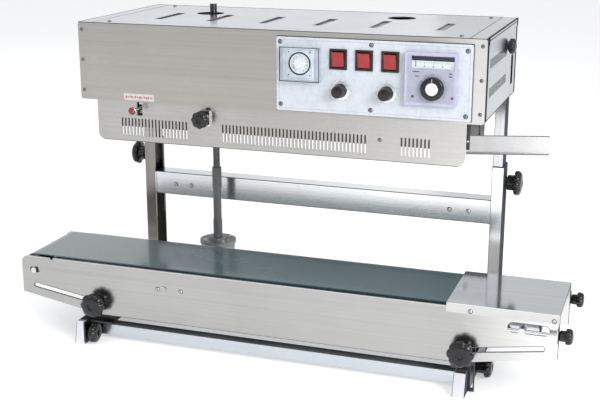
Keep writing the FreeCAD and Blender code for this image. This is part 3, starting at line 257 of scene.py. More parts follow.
def plastic(name, dark, light, rough=(0.16, 0.30), skin=900.0, strength=0.05, **settings):
    """Moulded plastic, rubber, paint or print: faint orange peel, dusting and uneven sheen."""
    mat, tree, shader = new_material(name, **settings)
    peel = noise(tree, coords(tree), skin, 2.0)
    pale_share = noise(tree, coords(tree), 90.0, 6.0, 0.7)
    dress(tree, shader, tint(tree, pale_share, dark, light), remap(tree, pale_share, *rough))
    relief(tree, shader, peel, strength, 0.3 * MM)
    return mat


def weave(tree, scale, turns, distortion=0.0):
    """Height of a cloth of two crossing sets of threads."""
    threads = []
    for turn in turns:
        wave = tree.nodes.new("ShaderNodeTexWave")
        wave.inputs["Scale"].default_value = scale
        wave.inputs["Distortion"].default_value = distortion
        tree.links.new(coords(tree, turn=turn), wave.inputs["Vector"])
        threads.append(wave.outputs["Fac"])
    return math_node(tree, "MULTIPLY", *threads)


def belt_cover():
    """Green belt, lighter and greyer towards the outfeed end as painted light, with a faint weave
    pressed through it.
    """
    mat, tree, shader = new_material("belt_pvc", Coat_Roughness=0.10)
    along = place(tree)["X"]
    cloth = weave(tree, 160.0, ((0, 0, 0), (0, 0, math.pi / 2)), 0.6)
    patch = noise(tree, coords(tree, (5.0, 14.0, 14.0)), detail=5.0, rough=0.6)
    # Painted light: the belt turns lighter and greyer towards the outfeed end.
    pale_share = remap(tree, along, 1.0, 0.0, -0.36, 0.02)
    plain_green = tint(tree, patch, (0.008, 0.042, 0.056), (0.014, 0.066, 0.084))
    lit_outfeed = tint(tree, patch, (0.080, 0.112, 0.122), (0.105, 0.140, 0.150))
    dress(tree, shader, blend(tree, pale_share, plain_green, lit_outfeed), remap(tree, patch, 0.16, 0.30))
    tree.links.new(remap(tree, along, 0.6, 0.22, -0.2, 0.2), shader.inputs["Coat Weight"])
    relief(tree, shader, cloth, 0.10, 0.2 * MM)
    return mat


def woven_band():
    """Brown coated glass cloth: tight square weave with burnished patches."""
    mat, tree, shader = new_material("band_ptfe")
    cloth = weave(tree, 420.0, ((0, 0, 0), (0, math.pi / 2, 0)))
    patch = noise(tree, coords(tree, (20, 20, 60)), detail=4.0)
    colour = blend(tree, patch, tint(tree, cloth, (0.10, 0.075, 0.05), (0.19, 0.145, 0.10)),
                   tint(tree, cloth, (0.15, 0.115, 0.08), (0.27, 0.215, 0.155)))
    dress(tree, shader, colour, remap(tree, patch, 0.32, 0.5))
    relief(tree, shader, cloth, 0.3, 0.2 * MM)
    return mat


def lever_finish():
    """Release lever: red ball in front of a limit, bare steel behind it."""
    mat, tree, shader = new_material("lever_finish")
    steel = zone(tree, [[above("Y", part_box("release_lever")[0].y + 3.5 * MM)]])
    cloud = noise(tree, coords(tree), 120.0, 4.0, 0.6)
    red = tint(tree, cloud, (0.20, 0.020, 0.026), (0.28, 0.034, 0.040))
    bare = tint(tree, cloud, (0.60, 0.60, 0.62), (0.75, 0.75, 0.77))
    dress(tree, shader, blend(tree, steel, red, bare), remap(tree, cloud, 0.12, 0.26))
    tree.links.new(steel, shader.inputs["Metallic"])
    relief(tree, shader, cloud, 0.05, 0.3 * MM)
    return mat


def clear_cover():
    """Clear moulded cover with faint haze."""
    mat, tree, shader = new_material("cover_clear", Transmission_Weight=1.0, IOR=1.2,
                                     Base_Color=(0.93, 0.96, 1.0, 1))
    haze = noise(tree, coords(tree), 60.0, 4.0)
    tree.links.new(remap(tree, haze, 0.02, 0.10), shader.inputs["Roughness"])
    return mat


# ------------------------------ sheet of each sub-part


def front_panel_steel():
    """Head's front sheet: painted shade along its top lip, and painted light that brightens it
    towards the infeed end.
    """
    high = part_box("head_front_panel")[1]
    return brushed("steel_head", (0.37, 0.35, 0.325), (0.44, 0.425, 0.40),
                   shade_zones=[[above("Z", high.z - 0.8 * MM)]], shade_colours=SHADE,
                   rise=(high.x - 86 * MM, high.x - 16 * MM, (0.70, 0.69, 0.67)))


def top_cover_steel():
    """Head's top sheets: painted shade along the rear and outfeed rims, and painted light that
    brightens them towards the infeed end.
    """
    low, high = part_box("head_top_cover")
    level = above("Z", high.z - 1.2 * MM)
    return brushed("steel_top", (0.44, 0.46, 0.50), (0.52, 0.54, 0.58), (0.16, 0.26),
                   shade_zones=[[level, above("Y", high.y - 5 * MM)],
                         [level, below("X", low.x + 0.2 * MM)]], shade_colours=SHADE,
                   rise=(high.x - 233.8 * MM, high.x - 43.8 * MM, (0.74, 0.76, 0.79)))


def side_cover_steel():
    """Infeed side cover: painted shade on its rims, on a line below the top and round the side
    knob's slot, and a painted highlight on its top strip.
    """
    low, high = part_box("right_side_cover")
    outside = above("X", high.x - 1.0 * MM)
    slot_y, slot_z = high.y - 39 * MM, low.z + 41 * MM
    return brushed("steel_side", (0.42, 0.44, 0.48), (0.50, 0.52, 0.56), (0.16, 0.26), "y",
                   shade_zones=[[outside, below("Y", low.y + 19.5 * MM)],
                         [outside, above("Y", high.y - 12 * MM)],
                         [above("X", high.x - 2.2 * MM), above("Z", high.z - 1.5 * MM)],
                         [outside, below("Z", low.z + 1.5 * MM)],
                         [outside, above("Z", high.z - 5.2 * MM), below("Z", high.z - 3.8 * MM)],
                         [above("Y", slot_y - 10 * MM), below("Y", slot_y + 10 * MM),
                          above("Z", slot_z - 22.5 * MM), below("Z", slot_z + 22.5 * MM)]],
                   # Painted highlight: a lighter strip along the top.
                   tone_zone=([[above("Z", high.z - 1.2 * MM)]], (0.70, 0.72, 0.75),
                         (0.80, 0.82, 0.85)))


def guard_steel():
    """Lower guard: painted shade behind its face and along the bottom, and painted light that
    brightens it towards the infeed end.
    """
    low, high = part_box("lower_guard")
    return brushed("steel_guard", (0.39, 0.38, 0.365), (0.47, 0.46, 0.445), (0.22, 0.34),
                   shade_zones=[[above("Y", high.y - 1.4 * MM)], [below("Z", low.z + 0.9 * MM)]],
                   shade_colours=SHADE, rise=(high.x - 181 * MM, high.x - 11 * MM, (0.58, 0.57, 0.55)))


def conveyor_plate_steel():
    """Conveyor's side plates: painted shade on the walls of their holes, along the bottom and on
    the infeed end, a painted highlight on the folded flange on top, and painted light that
    brightens them towards the infeed end.
    """
    low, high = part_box("conveyor_front_plate")
    face = high.y - 5 * MM
    return brushed("steel_plate", (0.375, 0.37, 0.36), (0.44, 0.435, 0.425), (0.18, 0.30),
                   shade_zones=[[above("Y", face + 0.2 * MM), below("Y", face + 2.5 * MM),
                          below("Z", high.z - 2 * MM)],
                         [below("Z", low.z + 0.7 * MM)], [above("X", high.x - 0.8 * MM)]],
                   shade_colours=SHADE, rise=(high.x - 137 * MM, high.x - 27 * MM, (0.72, 0.72, 0.71)),
                   # Painted highlight: a lighter flange on top.
                   tone_zone=([[above("Z", high.z - 1.3 * MM)]], (0.47, 0.48, 0.49),
                         (0.54, 0.55, 0.56)))


def end_cover_steel():
    """Cover over the belt's infeed end: bright top, with painted shade on its darker, warmer folded
    front and on the infeed end.
    """
    low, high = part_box("conveyor_end_cover")
    return brushed("steel_cover", (0.72, 0.73, 0.75), (0.84, 0.85, 0.87), (0.07, 0.13),
                   shade_zones=[[above("X", high.x - 0.4 * MM)]],
                   shade_colours=((0.10, 0.10, 0.105), (0.17, 0.17, 0.175)),
                   # Painted shade: a darker folded front.
                   tone_zone=([[below("Y", low.y + 1.6 * MM), below("Z", high.z - 0.5 * MM)]],
                         (0.50, 0.50, 0.49), (0.58, 0.58, 0.57)))


def drive_roller_steel():
    """Drive roller: its front journal has the polish of the plate round it."""
    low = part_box("drive_roller")[0]
    return brushed("steel_roller", (0.52, 0.53, 0.54), (0.70, 0.71, 0.72), (0.18, 0.30),
                   tone_zone=([[below("Y", low.y + 3 * MM)]], (0.375, 0.37, 0.36),
                         (0.44, 0.435, 0.425)))


def guide_steel():
    """Rails under the head's infeed end: painted shade above and below a brighter band, and painted
    light that brightens them towards the infeed side.
    """
    low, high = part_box("head_front_panel")
    return brushed("steel_guide", (0.36, 0.36, 0.355), (0.43, 0.43, 0.425), (0.24, 0.36),
                   shade_zones=[[above("Z", low.z - 17 * MM)], [below("Z", low.z - 40 * MM)]],
                   shade_colours=((0.09, 0.09, 0.09), (0.16, 0.16, 0.155)),
                   rise=(high.x + 4 * MM, high.x + 74 * MM, (0.56, 0.56, 0.56)))


def crossbeam_steel():
    """Beam between the columns: painted shade on the lip along the top and along the bottom, and
    painted light that brightens it towards the infeed end.
    """
    low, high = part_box("column_crossbeam")
    return brushed("steel_beam", (0.58, 0.59, 0.61), (0.70, 0.71, 0.73), (0.14, 0.21),
                   shade_zones=[[above("Z", high.z - 0.9 * MM), below("Y", low.y + 4 * MM)],
                         [below("Z", low.z + 1 * MM)]],
                   shade_colours=((0.07, 0.07, 0.075), (0.13, 0.13, 0.14)),
                   rise=(low.x + 129.5 * MM, low.x + 409.5 * MM, (0.92, 0.93, 0.94)))


def outer_column_steel():
    """Infeed column: bright front between sides in painted shade, and painted shade on the top."""
    low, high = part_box("right_outer_column")
    return brushed("steel_column", (0.90, 0.91, 0.92), (0.96, 0.97, 0.98), (0.10, 0.22), "z",
                   0.05, shade_zones=[[above("X", low.x + 17.7 * MM)], [below("X", low.x + 0.8 * MM)],
                               [above("Z", high.z - 1.2 * MM)]], shade_colours=SHADE)


def inner_column_steel():
    """Sliding part of the infeed column, with its sides in painted shade."""
    low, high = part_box("right_inner_column")
    return brushed("steel_inner", (0.50, 0.51, 0.53), (0.66, 0.67, 0.70), (0.12, 0.24), "z", 0.05,
                   shade_zones=[[above("X", high.x - 0.3 * MM)], [below("X", low.x + 0.7 * MM)]],
                   shade_colours=SHADE)


def foot_steel():
    """Both feet: painted shade on the infeed sides, on the tops under the conveyor and on the
    outfeed sides of the toes.
    """
    left_low, left_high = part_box("left_foot")
    right_low, right_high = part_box("right_foot")
    toe = below("Y", left_low.y + 12 * MM)
    return brushed("steel_foot", (0.84, 0.85, 0.90), (0.92, 0.93, 0.97), (0.08, 0.2), "y", 0.04,
                   shade_zones=[[above("Z", left_high.z - 0.3 * MM), above("Y", left_low.y + 14 * MM),
                          below("Y", left_low.y + 120 * MM)],
                         [above("X", right_high.x - 0.3 * MM)],
                         [above("X", left_high.x - 0.3 * MM), below("X", 0.0)],
                         [below("X", left_low.x + 0.7 * MM), toe],
                         [above("X", 0.0), below("X", right_low.x + 0.7 * MM), toe]], shade_colours=SHADE)


def cross_tube_steel():
    """Tube between the feet, with painted shade on its top."""
    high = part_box("front_cross_tube")[1]
    return brushed("steel_tube", (0.50, 0.53, 0.58), (0.58, 0.61, 0.66), (0.18, 0.28),
                   shade_zones=[[above("Z", high.z - 0.7 * MM)]],
                   shade_colours=((0.10, 0.103, 0.108), (0.17, 0.175, 0.18)))


# ------------------------------ plain finishes

GUARD = guard_steel()
BRACKET = brushed("steel_bracket", (0.045, 0.046, 0.05), (0.085, 0.087, 0.095), (0.3, 0.42))
# Left columns: a darker copy of the column steel, as painted shade.
SHADED_COLUMN = brushed("steel_column_shaded", (0.19, 0.182, 0.17), (0.28, 0.27, 0.255), (0.14, 0.26), "z",
               0.05)
CHROME = smooth_metal("polished_tube", (0.88, 0.90, 0.93), (0.96, 0.97, 0.99))
SCREW = smooth_metal("screw_zinc", (0.58, 0.58, 0.60), (0.78, 0.78, 0.80), (0.14, 0.26), 400.0)
DULL = smooth_metal("screw_dull", (0.16, 0.16, 0.17), (0.34, 0.34, 0.35), (0.2, 0.34), 400.0)
TURNED = smooth_metal("roller_turned", (0.52, 0.53, 0.54), (0.70, 0.71, 0.72), (0.18, 0.3))
SHAFT = smooth_metal("shaft_dark", (0.035, 0.035, 0.04), (0.10, 0.10, 0.11), (0.2, 0.34))
CAST = cast("cast_alloy", (0.20, 0.205, 0.21), (0.36, 0.365, 0.375))
BLOCK = cast("milled_alloy", (0.52, 0.53, 0.54), (0.70, 0.71, 0.72), (0.3, 0.45))
BRASS = cast("milled_brass", (0.42, 0.37, 0.28), (0.60, 0.54, 0.42), (0.28, 0.42))
SLEEVE = plastic("sleeve_black", (0.085, 0.085, 0.088), (0.13, 0.13, 0.135), (0.30, 0.42), 1500.0,
                 0.15)
BLACK = plastic("knob_black", (0.004, 0.004, 0.005), (0.012, 0.012, 0.014), (0.12, 0.24),
                IOR=1.42, Coat_Weight=0.15, Coat_Roughness=0.06)
MATT = plastic("rubber_black", (0.010, 0.010, 0.011), (0.028, 0.028, 0.030), (0.42, 0.62), 1500.0,
               0.25)
PANEL = plastic("panel_white", (0.48, 0.51, 0.56), (0.54, 0.57, 0.62), (0.22, 0.34), 2500.0, 0.06)
LAVENDER = plastic("case_lavender", (0.36, 0.35, 0.48), (0.44, 0.43, 0.56), (0.2, 0.3),
                   Coat_Weight=0.3)
FACE = plastic("face_grey", (0.29, 0.30, 0.38), (0.35, 0.36, 0.44), (0.3, 0.42), 2600.0, 0.1)
PALE = plastic("case_pale", (0.62, 0.66, 0.70), (0.74, 0.77, 0.80), (0.2, 0.32))
WHITE = plastic("enamel_white", (0.84, 0.84, 0.84), (0.92, 0.92, 0.91), (0.25, 0.38))
PAPER = plastic("label_paper", (0.50, 0.46, 0.45), (0.58, 0.54, 0.53), (0.4, 0.55))
PRINT = plastic("label_print", (0.34, 0.09, 0.08), (0.42, 0.14, 0.12), (0.4, 0.55))
SHALE = plastic("vent_shade_grey", (0.26, 0.26, 0.275), (0.36, 0.36, 0.38), (0.4, 0.55))
DARK_LINE = plastic("dark_line_grey", (0.10, 0.10, 0.11), (0.17, 0.17, 0.18), (0.4, 0.6))
# Near black for print and black parts, and for painted shade in screw recesses, round the panel,
# behind the side vents and above the pressure plate's bracket.
NEAR_BLACK = plastic("near_black", (0.012, 0.013, 0.02), (0.03, 0.03, 0.045), (0.4, 0.55))
GREY_INK = plastic("ink_grey", (0.30, 0.32, 0.36), (0.38, 0.40, 0.44), (0.4, 0.5))
RED = plastic("rocker_red", (0.23, 0.004, 0.006), (0.32, 0.009, 0.011), (0.14, 0.24),
              Coat_Weight=0.25, Coat_Roughness=0.06)
RED_INK = plastic("ink_red", (0.55, 0.02, 0.02), (0.70, 0.04, 0.03), (0.35, 0.5))
GREEN = plastic("lamp_green", (0.01, 0.07, 0.05), (0.02, 0.12, 0.08), (0.1, 0.2))
SILICONE = plastic("silicone_red", (0.36, 0.07, 0.05), (0.48, 0.11, 0.07), (0.4, 0.55), 1200.0, 0.2)
MOTOR = plastic("motor_enamel", (0.015, 0.015, 0.017), (0.035, 0.035, 0.038), (0.3, 0.45), 700.0,
                0.2)
CLEAR = clear_cover()

# ------------------------------ finish of each CAD node

FINISH = {
    foot_steel(): ("left_foot", "right_foot"),
    cross_tube_steel(): ("front_cross_tube",),
    outer_column_steel(): ("right_outer_column",),
    inner_column_steel(): ("right_inner_column",),
    SHADED_COLUMN: ("left_outer_column", "left_inner_column"),
    crossbeam_steel(): ("column_crossbeam",),
    BRACKET: ("left_conveyor_bracket", "right_conveyor_bracket"),
    conveyor_plate_steel(): ("conveyor_front_plate", "conveyor_rear_plate"),
    end_cover_steel(): ("conveyor_end_cover",),
    drive_roller_steel(): ("drive_roller",),
    TURNED: ("outfeed_roller", "tension_axle", "infeed_roller"),
    belt_cover(): ("conveyor_belt",),
    CAST: ("conveyor_gearbox",),
    SLEEVE: ("lower_drive_sleeve",),
    SHAFT: ("upper_drive_shaft",),
    front_panel_steel(): ("head_front_panel",),
    top_cover_steel(): ("head_top_cover", "head_deck", "left_side_cover"),
    side_cover_steel(): ("right_side_cover",),
    GUARD: ("lower_guard",),
    guide_steel(): ("infeed_guides",),
    PANEL: ("control_panel",),
    LAVENDER: ("temperature_controller",),
    BLACK: ("rocker_bezels",),
    RED: ("power_switch", "heater_switch", "fan_switch"),
    lever_finish(): ("release_lever",),
    BLOCK: ("front_drive_wheel", "rear_drive_wheel", "front_idler_wheel", "rear_idler_wheel",
            "cooling_blocks"),
    SILICONE: ("press_wheel",),
    woven_band(): ("sealing_bands",),
    BRASS: ("heating_blocks",),
    MOTOR: ("gear_motor",),
}
for finish, nodes in FINISH.items():
    for node in nodes:
        shown = frame["nodes"][node]
        shown.data.materials.clear()
        shown.data.materials.append(finish)

# ------------------------------ mesh helpers

BODY_OF = {node: body for body, nodes in frame["record"]["behaviour"]["bodies"].items()
           for node in nodes}


def piece(name, bm, materials, body="head", replaces=(), smooth=0.0):
    """Turns a bmesh in the row frame into a shown piece that rides on a body."""
    mesh = bpy.data.meshes.new(name)
    bmesh.ops.recalc_face_normals(bm, faces=bm.faces)
    bm.to_mesh(mesh)
    bm.free()
    for mat in materials:
        mesh.materials.append(mat)
    obj = bpy.data.objects.new(name, mesh)
    bpy.context.scene.collection.objects.link(obj)
    if smooth:
        mesh.polygons.foreach_set("use_smooth", [True] * len(mesh.polygons))
        mesh.set_sharp_from_angle(angle=math.radians(smooth))
    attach(obj, body)
    if replaces:
        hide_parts(*replaces)


def offset(corner, x, y, z):
    """Place given in millimetres from a corner or centre in the row frame."""
    return Vector(corner) + Vector((x, y, z)) * MM


def middle(node):
    """Centre of a CAD node's box."""
    low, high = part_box(node)
    return (low + high) / 2


def box_verts(bm, material):
    """Vertices of a new unit cube whose faces have a material."""
    verts = bmesh.ops.create_cube(bm, size=1.0)["verts"]
    for face in {f for v in verts for f in v.link_faces}:
        face.material_index = material
    return verts


def add_box(bm, low, high, material=0, bevel=0.0):
    """Box between two corners, with its edges rounded by bevel."""
    low, high = Vector(low), Vector(high)
    size, centre = high - low, (high + low) / 2
    verts = box_verts(bm, material)
    for v in verts:
        v.co = v.co * size + centre
    if bevel:
        edges = list({e for v in verts for e in v.link_edges})
        bmesh.ops.bevel(bm, geom=edges, offset=bevel, segments=2, affect="EDGES", profile=0.6)


def add_border(bm, outer, inner, front, back):
    """Four upright strips between two rectangles (left, base, right, top)."""
    left, base, right, top = outer
    for x0, z0, x1, z1 in ((left, base, right, inner[1]), (left, inner[3], right, top),
                           (left, inner[1], inner[0], inner[3]),
                           (inner[2], inner[1], right, inner[3])):
        add_box(bm, (x0, front, z0), (x1, back, z1))


def rectangle(low, high, inset=0.0):
    """Front outline of a box, drawn in by inset."""
    return low.x + inset, low.z + inset, high.x - inset, high.z - inset


def frame_of(axis):
    """Rotation that takes +Z onto an axis."""
    return Vector(UPWARD).rotation_difference(Vector(axis)).to_matrix()


def lathe(bm, at, axis, profile, steps=48, shape=None, finish=None):
    """Turned form: profile is (radius, height) pairs along the axis from at.

    shape(radius, height, angle) may return a changed radius, and finish(index) a material."""
    turn, origin = frame_of(axis), Vector(at)
    rings = []
    for radius, height in profile:
        ring = []
        for step in range(steps):
            angle = 2 * math.pi * step / steps
            r = shape(radius, height, angle) if shape else radius
            local = Vector((r * math.cos(angle), r * math.sin(angle), height))
            ring.append(bm.verts.new(turn @ local + origin))
        rings.append(ring)
    for i in range(len(rings) - 1):
        for step in range(steps):
            nxt = (step + 1) % steps
            face = bm.faces.new((rings[i][step], rings[i][nxt], rings[i + 1][nxt],
                                 rings[i + 1][step]))
            face.material_index = finish(i) if finish else 0
    for index, ring in ((0, rings[0]), (len(rings) - 1, rings[-1])):
        face = bm.faces.new(ring)
        face.material_index = finish(max(0, index - 1)) if finish else 0


def turned(bm, at, axis, sizes, steps=48, shape=None, finish=None):
    """Turned form whose (radius, height) pairs are in millimetres."""
    lathe(bm, at, axis, [(r * MM, h * MM) for r, h in sizes], steps, shape, finish)


def second(_index):
    """Gives a whole turned form its piece's second material."""
    return 1


# ------------------------------ star knobs

LOBES = 8


def star_knob(node, axis, rim, hub, flange, dome, hub_length, bolt):
    """Moulded knob with rounded lobes, a dished face and its steel screw; sizes are in mm."""
    low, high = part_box(node)
    along = [abs(a) for a in axis].index(1)
    centre = (low + high) / 2
    centre[along] = high[along] if sum(axis) > 0 else low[along]
    total = (high[along] - low[along]) / MM
    body = dome + flange + hub_length
    seat = dome + flange

    def scallop(radius, height, angle):
        depth = -height / MM
        if depth < dome * 0.6 or depth > seat + 0.5 or radius < hub * MM:
            return radius
        return radius * (0.865 + 0.135 * abs(math.cos(angle * LOBES / 2)) ** 0.75)

    profile = [
        (bolt * 0.92, -total), (bolt, -total + 0.6), (bolt, -body - 0.2), (bolt + 0.1, -body),
        (hub * 0.86, -body), (hub, -body + 1.2), (hub * 1.02, -seat - 1.6),
        (hub * 1.12, -seat - 0.4), (rim * 0.90, -seat), (rim * 0.97, -seat + 0.7),
        (rim, -seat + 2.0), (rim, -dome - flange * 0.45), (rim * 0.975, -dome - flange * 0.22),
        (rim * 0.90, -dome - flange * 0.04), (rim * 0.78, -dome * 0.55),
        (rim * 0.60, -dome * 0.16), (rim * 0.42, -0.02), (rim * 0.30, 0.0),
        (rim * 0.27, -0.35), (rim * 0.25, -2.4), (rim * 0.10, -2.6),
    ]
    bm = bmesh.new()
    turned(bm, centre, axis, profile, 96, scallop, lambda i: 1 if i < 3 else 0)
    piece(node + "_moulded", bm, [BLACK, SCREW], BODY_OF[node], [node], 50.0)


WIDE = dict(rim=19.5, hub=12, flange=9, dome=2.5, bolt=2.95)
BIG = dict(rim=16.5, hub=11, flange=8, dome=2.5, bolt=2.95)
MID = dict(rim=13, hub=8.5, flange=7.5, dome=2, bolt=2.45)
SMALL = dict(rim=11.5, hub=7.5, flange=7.5, dome=2, bolt=2.45)
for node, axis, size, hub_length in (
        ("left_clamp_knob", FORWARD, WIDE, 11.5),
        ("right_clamp_knob", FORWARD, WIDE, 11.5),
        ("left_column_knob", LEFTWARD, WIDE, 11.5),
        ("right_column_knob", RIGHTWARD, WIDE, 11.5),
        ("left_foot_knob", RIGHTWARD, BIG, 5),
        ("right_foot_knob", RIGHTWARD, BIG, 12),
        ("front_tension_knob", RIGHTWARD, SMALL, 8.5),
        ("rear_tension_knob", RIGHTWARD, SMALL, 8.5),
        ("pressure_knob", FORWARD, MID, 7),
        ("side_knob", RIGHTWARD, SMALL, 2)):
    star_knob(node, axis, hub_length=hub_length, **size)

# ------------------------------ screws


def screw(bm, at, axis, radius, height):
    """Pan head whose cross recess is shown by two crossed dark bars of painted shade."""
    profile = [(radius * 0.98, 0.0), (radius, height * 0.25), (radius * 0.93, height * 0.62),
               (radius * 0.68, height * 0.9), (radius * 0.30, height)]
    lathe(bm, at, axis, profile, 20)
    turn, origin = frame_of(axis), Vector(at)
    for spin in (0.4, 0.4 + math.pi / 2):
        for v in box_verts(bm, 1):
            local = Vector((v.co.x * radius * 1.15, v.co.y * radius * 0.26,
                            height * (0.86 + v.co.z * 0.36)))
            local.rotate(Matrix.Rotation(spin, 3, "Z"))
            v.co = turn @ local + origin


def washer(bm, at, axis, radius):
    """Dark seat ring round a screw head."""
    lathe(bm, at, axis, [(radius, 0.0), (radius, 0.25 * MM), (radius * 0.7, 0.3 * MM)], 24,
          finish=second)


def seated_screw(bm, at, axis, radius, height, seat):
    """Screw on a seat ring that is wider than its head by seat."""
    screw(bm, at, axis, radius, height)
    washer(bm, at, axis, radius + seat)


def islands(node):
    """Box of each separate solid in a CAD node."""
    bm = bmesh.new()
    bm.from_mesh(frame["nodes"][node].data)
    bmesh.ops.remove_doubles(bm, verts=bm.verts, dist=1e-6)
    left, found = set(bm.verts), []
    while left:
        stack, group = [left.pop()], []
        while stack:
            v = stack.pop()
            group.append(v.co.copy())
            for e in v.link_edges:
                other = e.other_vert(v)
                if other in left:
                    left.discard(other)
                    stack.append(other)
        found.append((Vector([min(c[i] for c in group) for i in range(3)]),
                      Vector([max(c[i] for c in group) for i in range(3)])))
    bm.free()
    return sorted(found, key=lambda box: tuple(round(c, 5) for c in box[0]))


bm = bmesh.new()
for low, high in islands("head_screws"):
    size, centre = high - low, (low + high) / 2
    if size.z < size.x * 0.8:
        at, axis, rise = (centre.x, centre.y, low.z), UPWARD, size.z
    else:
        at, axis, rise = (centre.x, high.y, centre.z), FORWARD, size.y
    seated_screw(bm, at, axis, size.x / 2, rise, 0.7 * MM)
piece("head_screw_heads", bm, [DULL, NEAR_BLACK], "head", ["head_screws"], 40.0)

LONG_STUD, NUT_THICK = 6 * MM, 4 * MM
belt_middle = middle("conveyor_belt")
bm = bmesh.new()
for low, high in islands("conveyor_screws"):
    size, centre = high - low, (low + high) / 2
    radius = size.x / 2
    if size.y > LONG_STUD:
        lathe(bm, (centre.x, low.y, centre.z), BACKWARD,
              [(2.8 * MM, 0), (3 * MM, 0.6 * MM), (3 * MM, size.y - NUT_THICK - 0.1 * MM)], 24)
        lathe(bm, (centre.x, high.y - NUT_THICK, centre.z), BACKWARD,
              [(radius, 0), (radius, NUT_THICK - 0.7 * MM), (radius * 0.85, NUT_THICK)], 6)
    elif centre.y < belt_middle.y:
        seated_screw(bm, (centre.x, high.y, centre.z), FORWARD, radius, size.y, 0.8 * MM)
    else:
        screw(bm, (centre.x, low.y, centre.z), BACKWARD, radius, size.y)
piece("conveyor_screw_heads", bm, [SCREW, NEAR_BLACK], "conveyor", ["conveyor_screws"], 40.0)

beam_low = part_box("column_crossbeam")[0]
bm = bmesh.new()
for x in (37.5, 66.5, 512.0, 542.5):
    seated_screw(bm, offset(beam_low, x, 2.3, 18), FORWARD, 2.8 * MM, 1.5 * MM, 1 * MM)
piece("beam_screws", bm, [SCREW, NEAR_BLACK], "base", (), 40.0)

# ------------------------------ printed marks


def ticks(bm, centre, inner, outer, width, count, start, sweep, material=0):
    """Ring of printed marks on an upright face; sizes are in mm and angles in degrees."""
    thick = 0.15 * MM
    for k in range(count):
        angle = math.radians(start - sweep * k / (count - 1))
        for v in box_verts(bm, material):
            along = ((inner + outer) / 2 + v.co.x * (outer - inner)) * MM
            across = v.co.z * width * MM
            v.co = Vector((centre.x + along * math.cos(angle) - across * math.sin(angle),
                           centre.y + (v.co.y - 0.5) * thick,
                           centre.z + along * math.sin(angle) + across * math.cos(angle)))


# ------------------------------ temperature controller

SKIN = 0.35 * MM
case_low, case_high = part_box("temperature_controller")
window = (case_low.x + 9.2 * MM, case_low.z + 50.4 * MM, case_low.x + 68.3 * MM,
          case_low.z + 67.4 * MM)
bm = bmesh.new()
add_border(bm, rectangle(case_low, case_high, 4.2 * MM), window, case_low.y - SKIN,
           case_low.y + 0.1 * MM)
piece("controller_face", bm, [FACE])

scale_low = Vector((window[0], case_low.y + 2 * MM, window[1]))
scale_wide, scale_tall = (window[2] - window[0]) / MM, (window[3] - window[1]) / MM
bm = bmesh.new()
add_box(bm, offset(scale_low, 0, -0.5, 0), offset(scale_low, scale_wide, 0, 10.5))
add_box(bm, offset(scale_low, 0, -0.4, 10.5), offset(scale_low, scale_wide, 0, scale_tall), 1)
for k in range(21):
    x = 5 + k * 2.45
    tall = 3.2 if k % 5 == 0 else 1.6
    add_box(bm, offset(scale_low, x, -0.6, 8.8 - tall), offset(scale_low, x + 0.35, -0.45, 8.8), 1)
for k in range(5):
    x = 4.2 + k * 12.25
    add_box(bm, offset(scale_low, x, -0.6, 2.2), offset(scale_low, x + 1.9, -0.45, 4), 2)
piece("controller_scale", bm, [WHITE, NEAR_BLACK, GREY_INK])

bm = bmesh.new()
add_box(bm, offset(scale_low, 5.2, -1.4, 3), offset(scale_low, 6, -1, scale_tall - 1))
piece("controller_needle", bm, [NEAR_BLACK])

bm = bmesh.new()
add_box(bm, (window[0], case_low.y + 0.1 * MM, window[1]),
        (window[2], case_low.y + 0.5 * MM, window[3]))
piece("controller_glass", bm, [CLEAR])

dial = middle("temperature_dial")
dial.y = case_low.y - SKIN
bm = bmesh.new()
ticks(bm, dial, 17.6, 20.2, 0.45, 9, 215, 250)
ticks(bm, dial, 17.6, 18.8, 0.3, 33, 215, 250)
print_low = Vector((case_low.x, case_low.y - SKIN, case_low.z))
for x, z, wide in ((10.8, 45.4, 9), (60.8, 44.4, 4.5), (60.8, 40.4, 4.5), (14.8, 39.4, 5)):
    add_box(bm, offset(print_low, x, -0.15, z), offset(print_low, x + wide, 0, z + 1.3))
piece("controller_marks", bm, [NEAR_BLACK])

for name, x, finish in (("controller_lamp_green", 11.6, GREEN), ("controller_lamp_red", 66.3, RED)):
    bm = bmesh.new()
    turned(bm, offset(case_low, x, 0, 12.1), FORWARD,
           [(1.9, 0), (1.9, 0.7), (1.4, 1.2), (0.5, 1.5)], 20)
    piece(name, bm, [finish], smooth=30.0)


def fluted(ridges, depth, outer, back, front):
    """Shape of a grip with ridges between two heights, past an outer radius; sizes in mm."""
    def shape(radius, height, angle):
        if radius < outer * MM or not back * MM < height < front * MM:
            return radius
        return radius - depth * MM * abs(math.sin(angle * ridges / 2))
    return shape


tip = Vector((dial.x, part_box("temperature_dial")[0].y, dial.z))
bm = bmesh.new()
turned(bm, tip, FORWARD, [
    (3, -14), (3, -7.6), (15.5, -7.6), (16, -7.2), (16, -1.6), (15.4, -0.6), (14.4, 0),
    (8.9, -0.1), (8.6, -0.7), (2, -0.7)], 144, fluted(48, 0.35, 15, -6.6, -0.9))
piece("dial_ring", bm, [BLACK], "temperature_dial", ["temperature_dial"], 40.0)
bm = bmesh.new()
turned(bm, offset(tip, 0, 0.75, 0), FORWARD, [(8.4, 0), (8.4, 0.45), (7.9, 0.7), (1, 0.75)])
piece("dial_cap", bm, [WHITE], "temperature_dial", smooth=30.0)
bm = bmesh.new()
add_box(bm, offset(tip, -0.5, 0, 9.6), offset(tip, 0.5, 0.4, 14))
piece("dial_pointer", bm, [GREY_INK], "temperature_dial")

# ------------------------------ timer

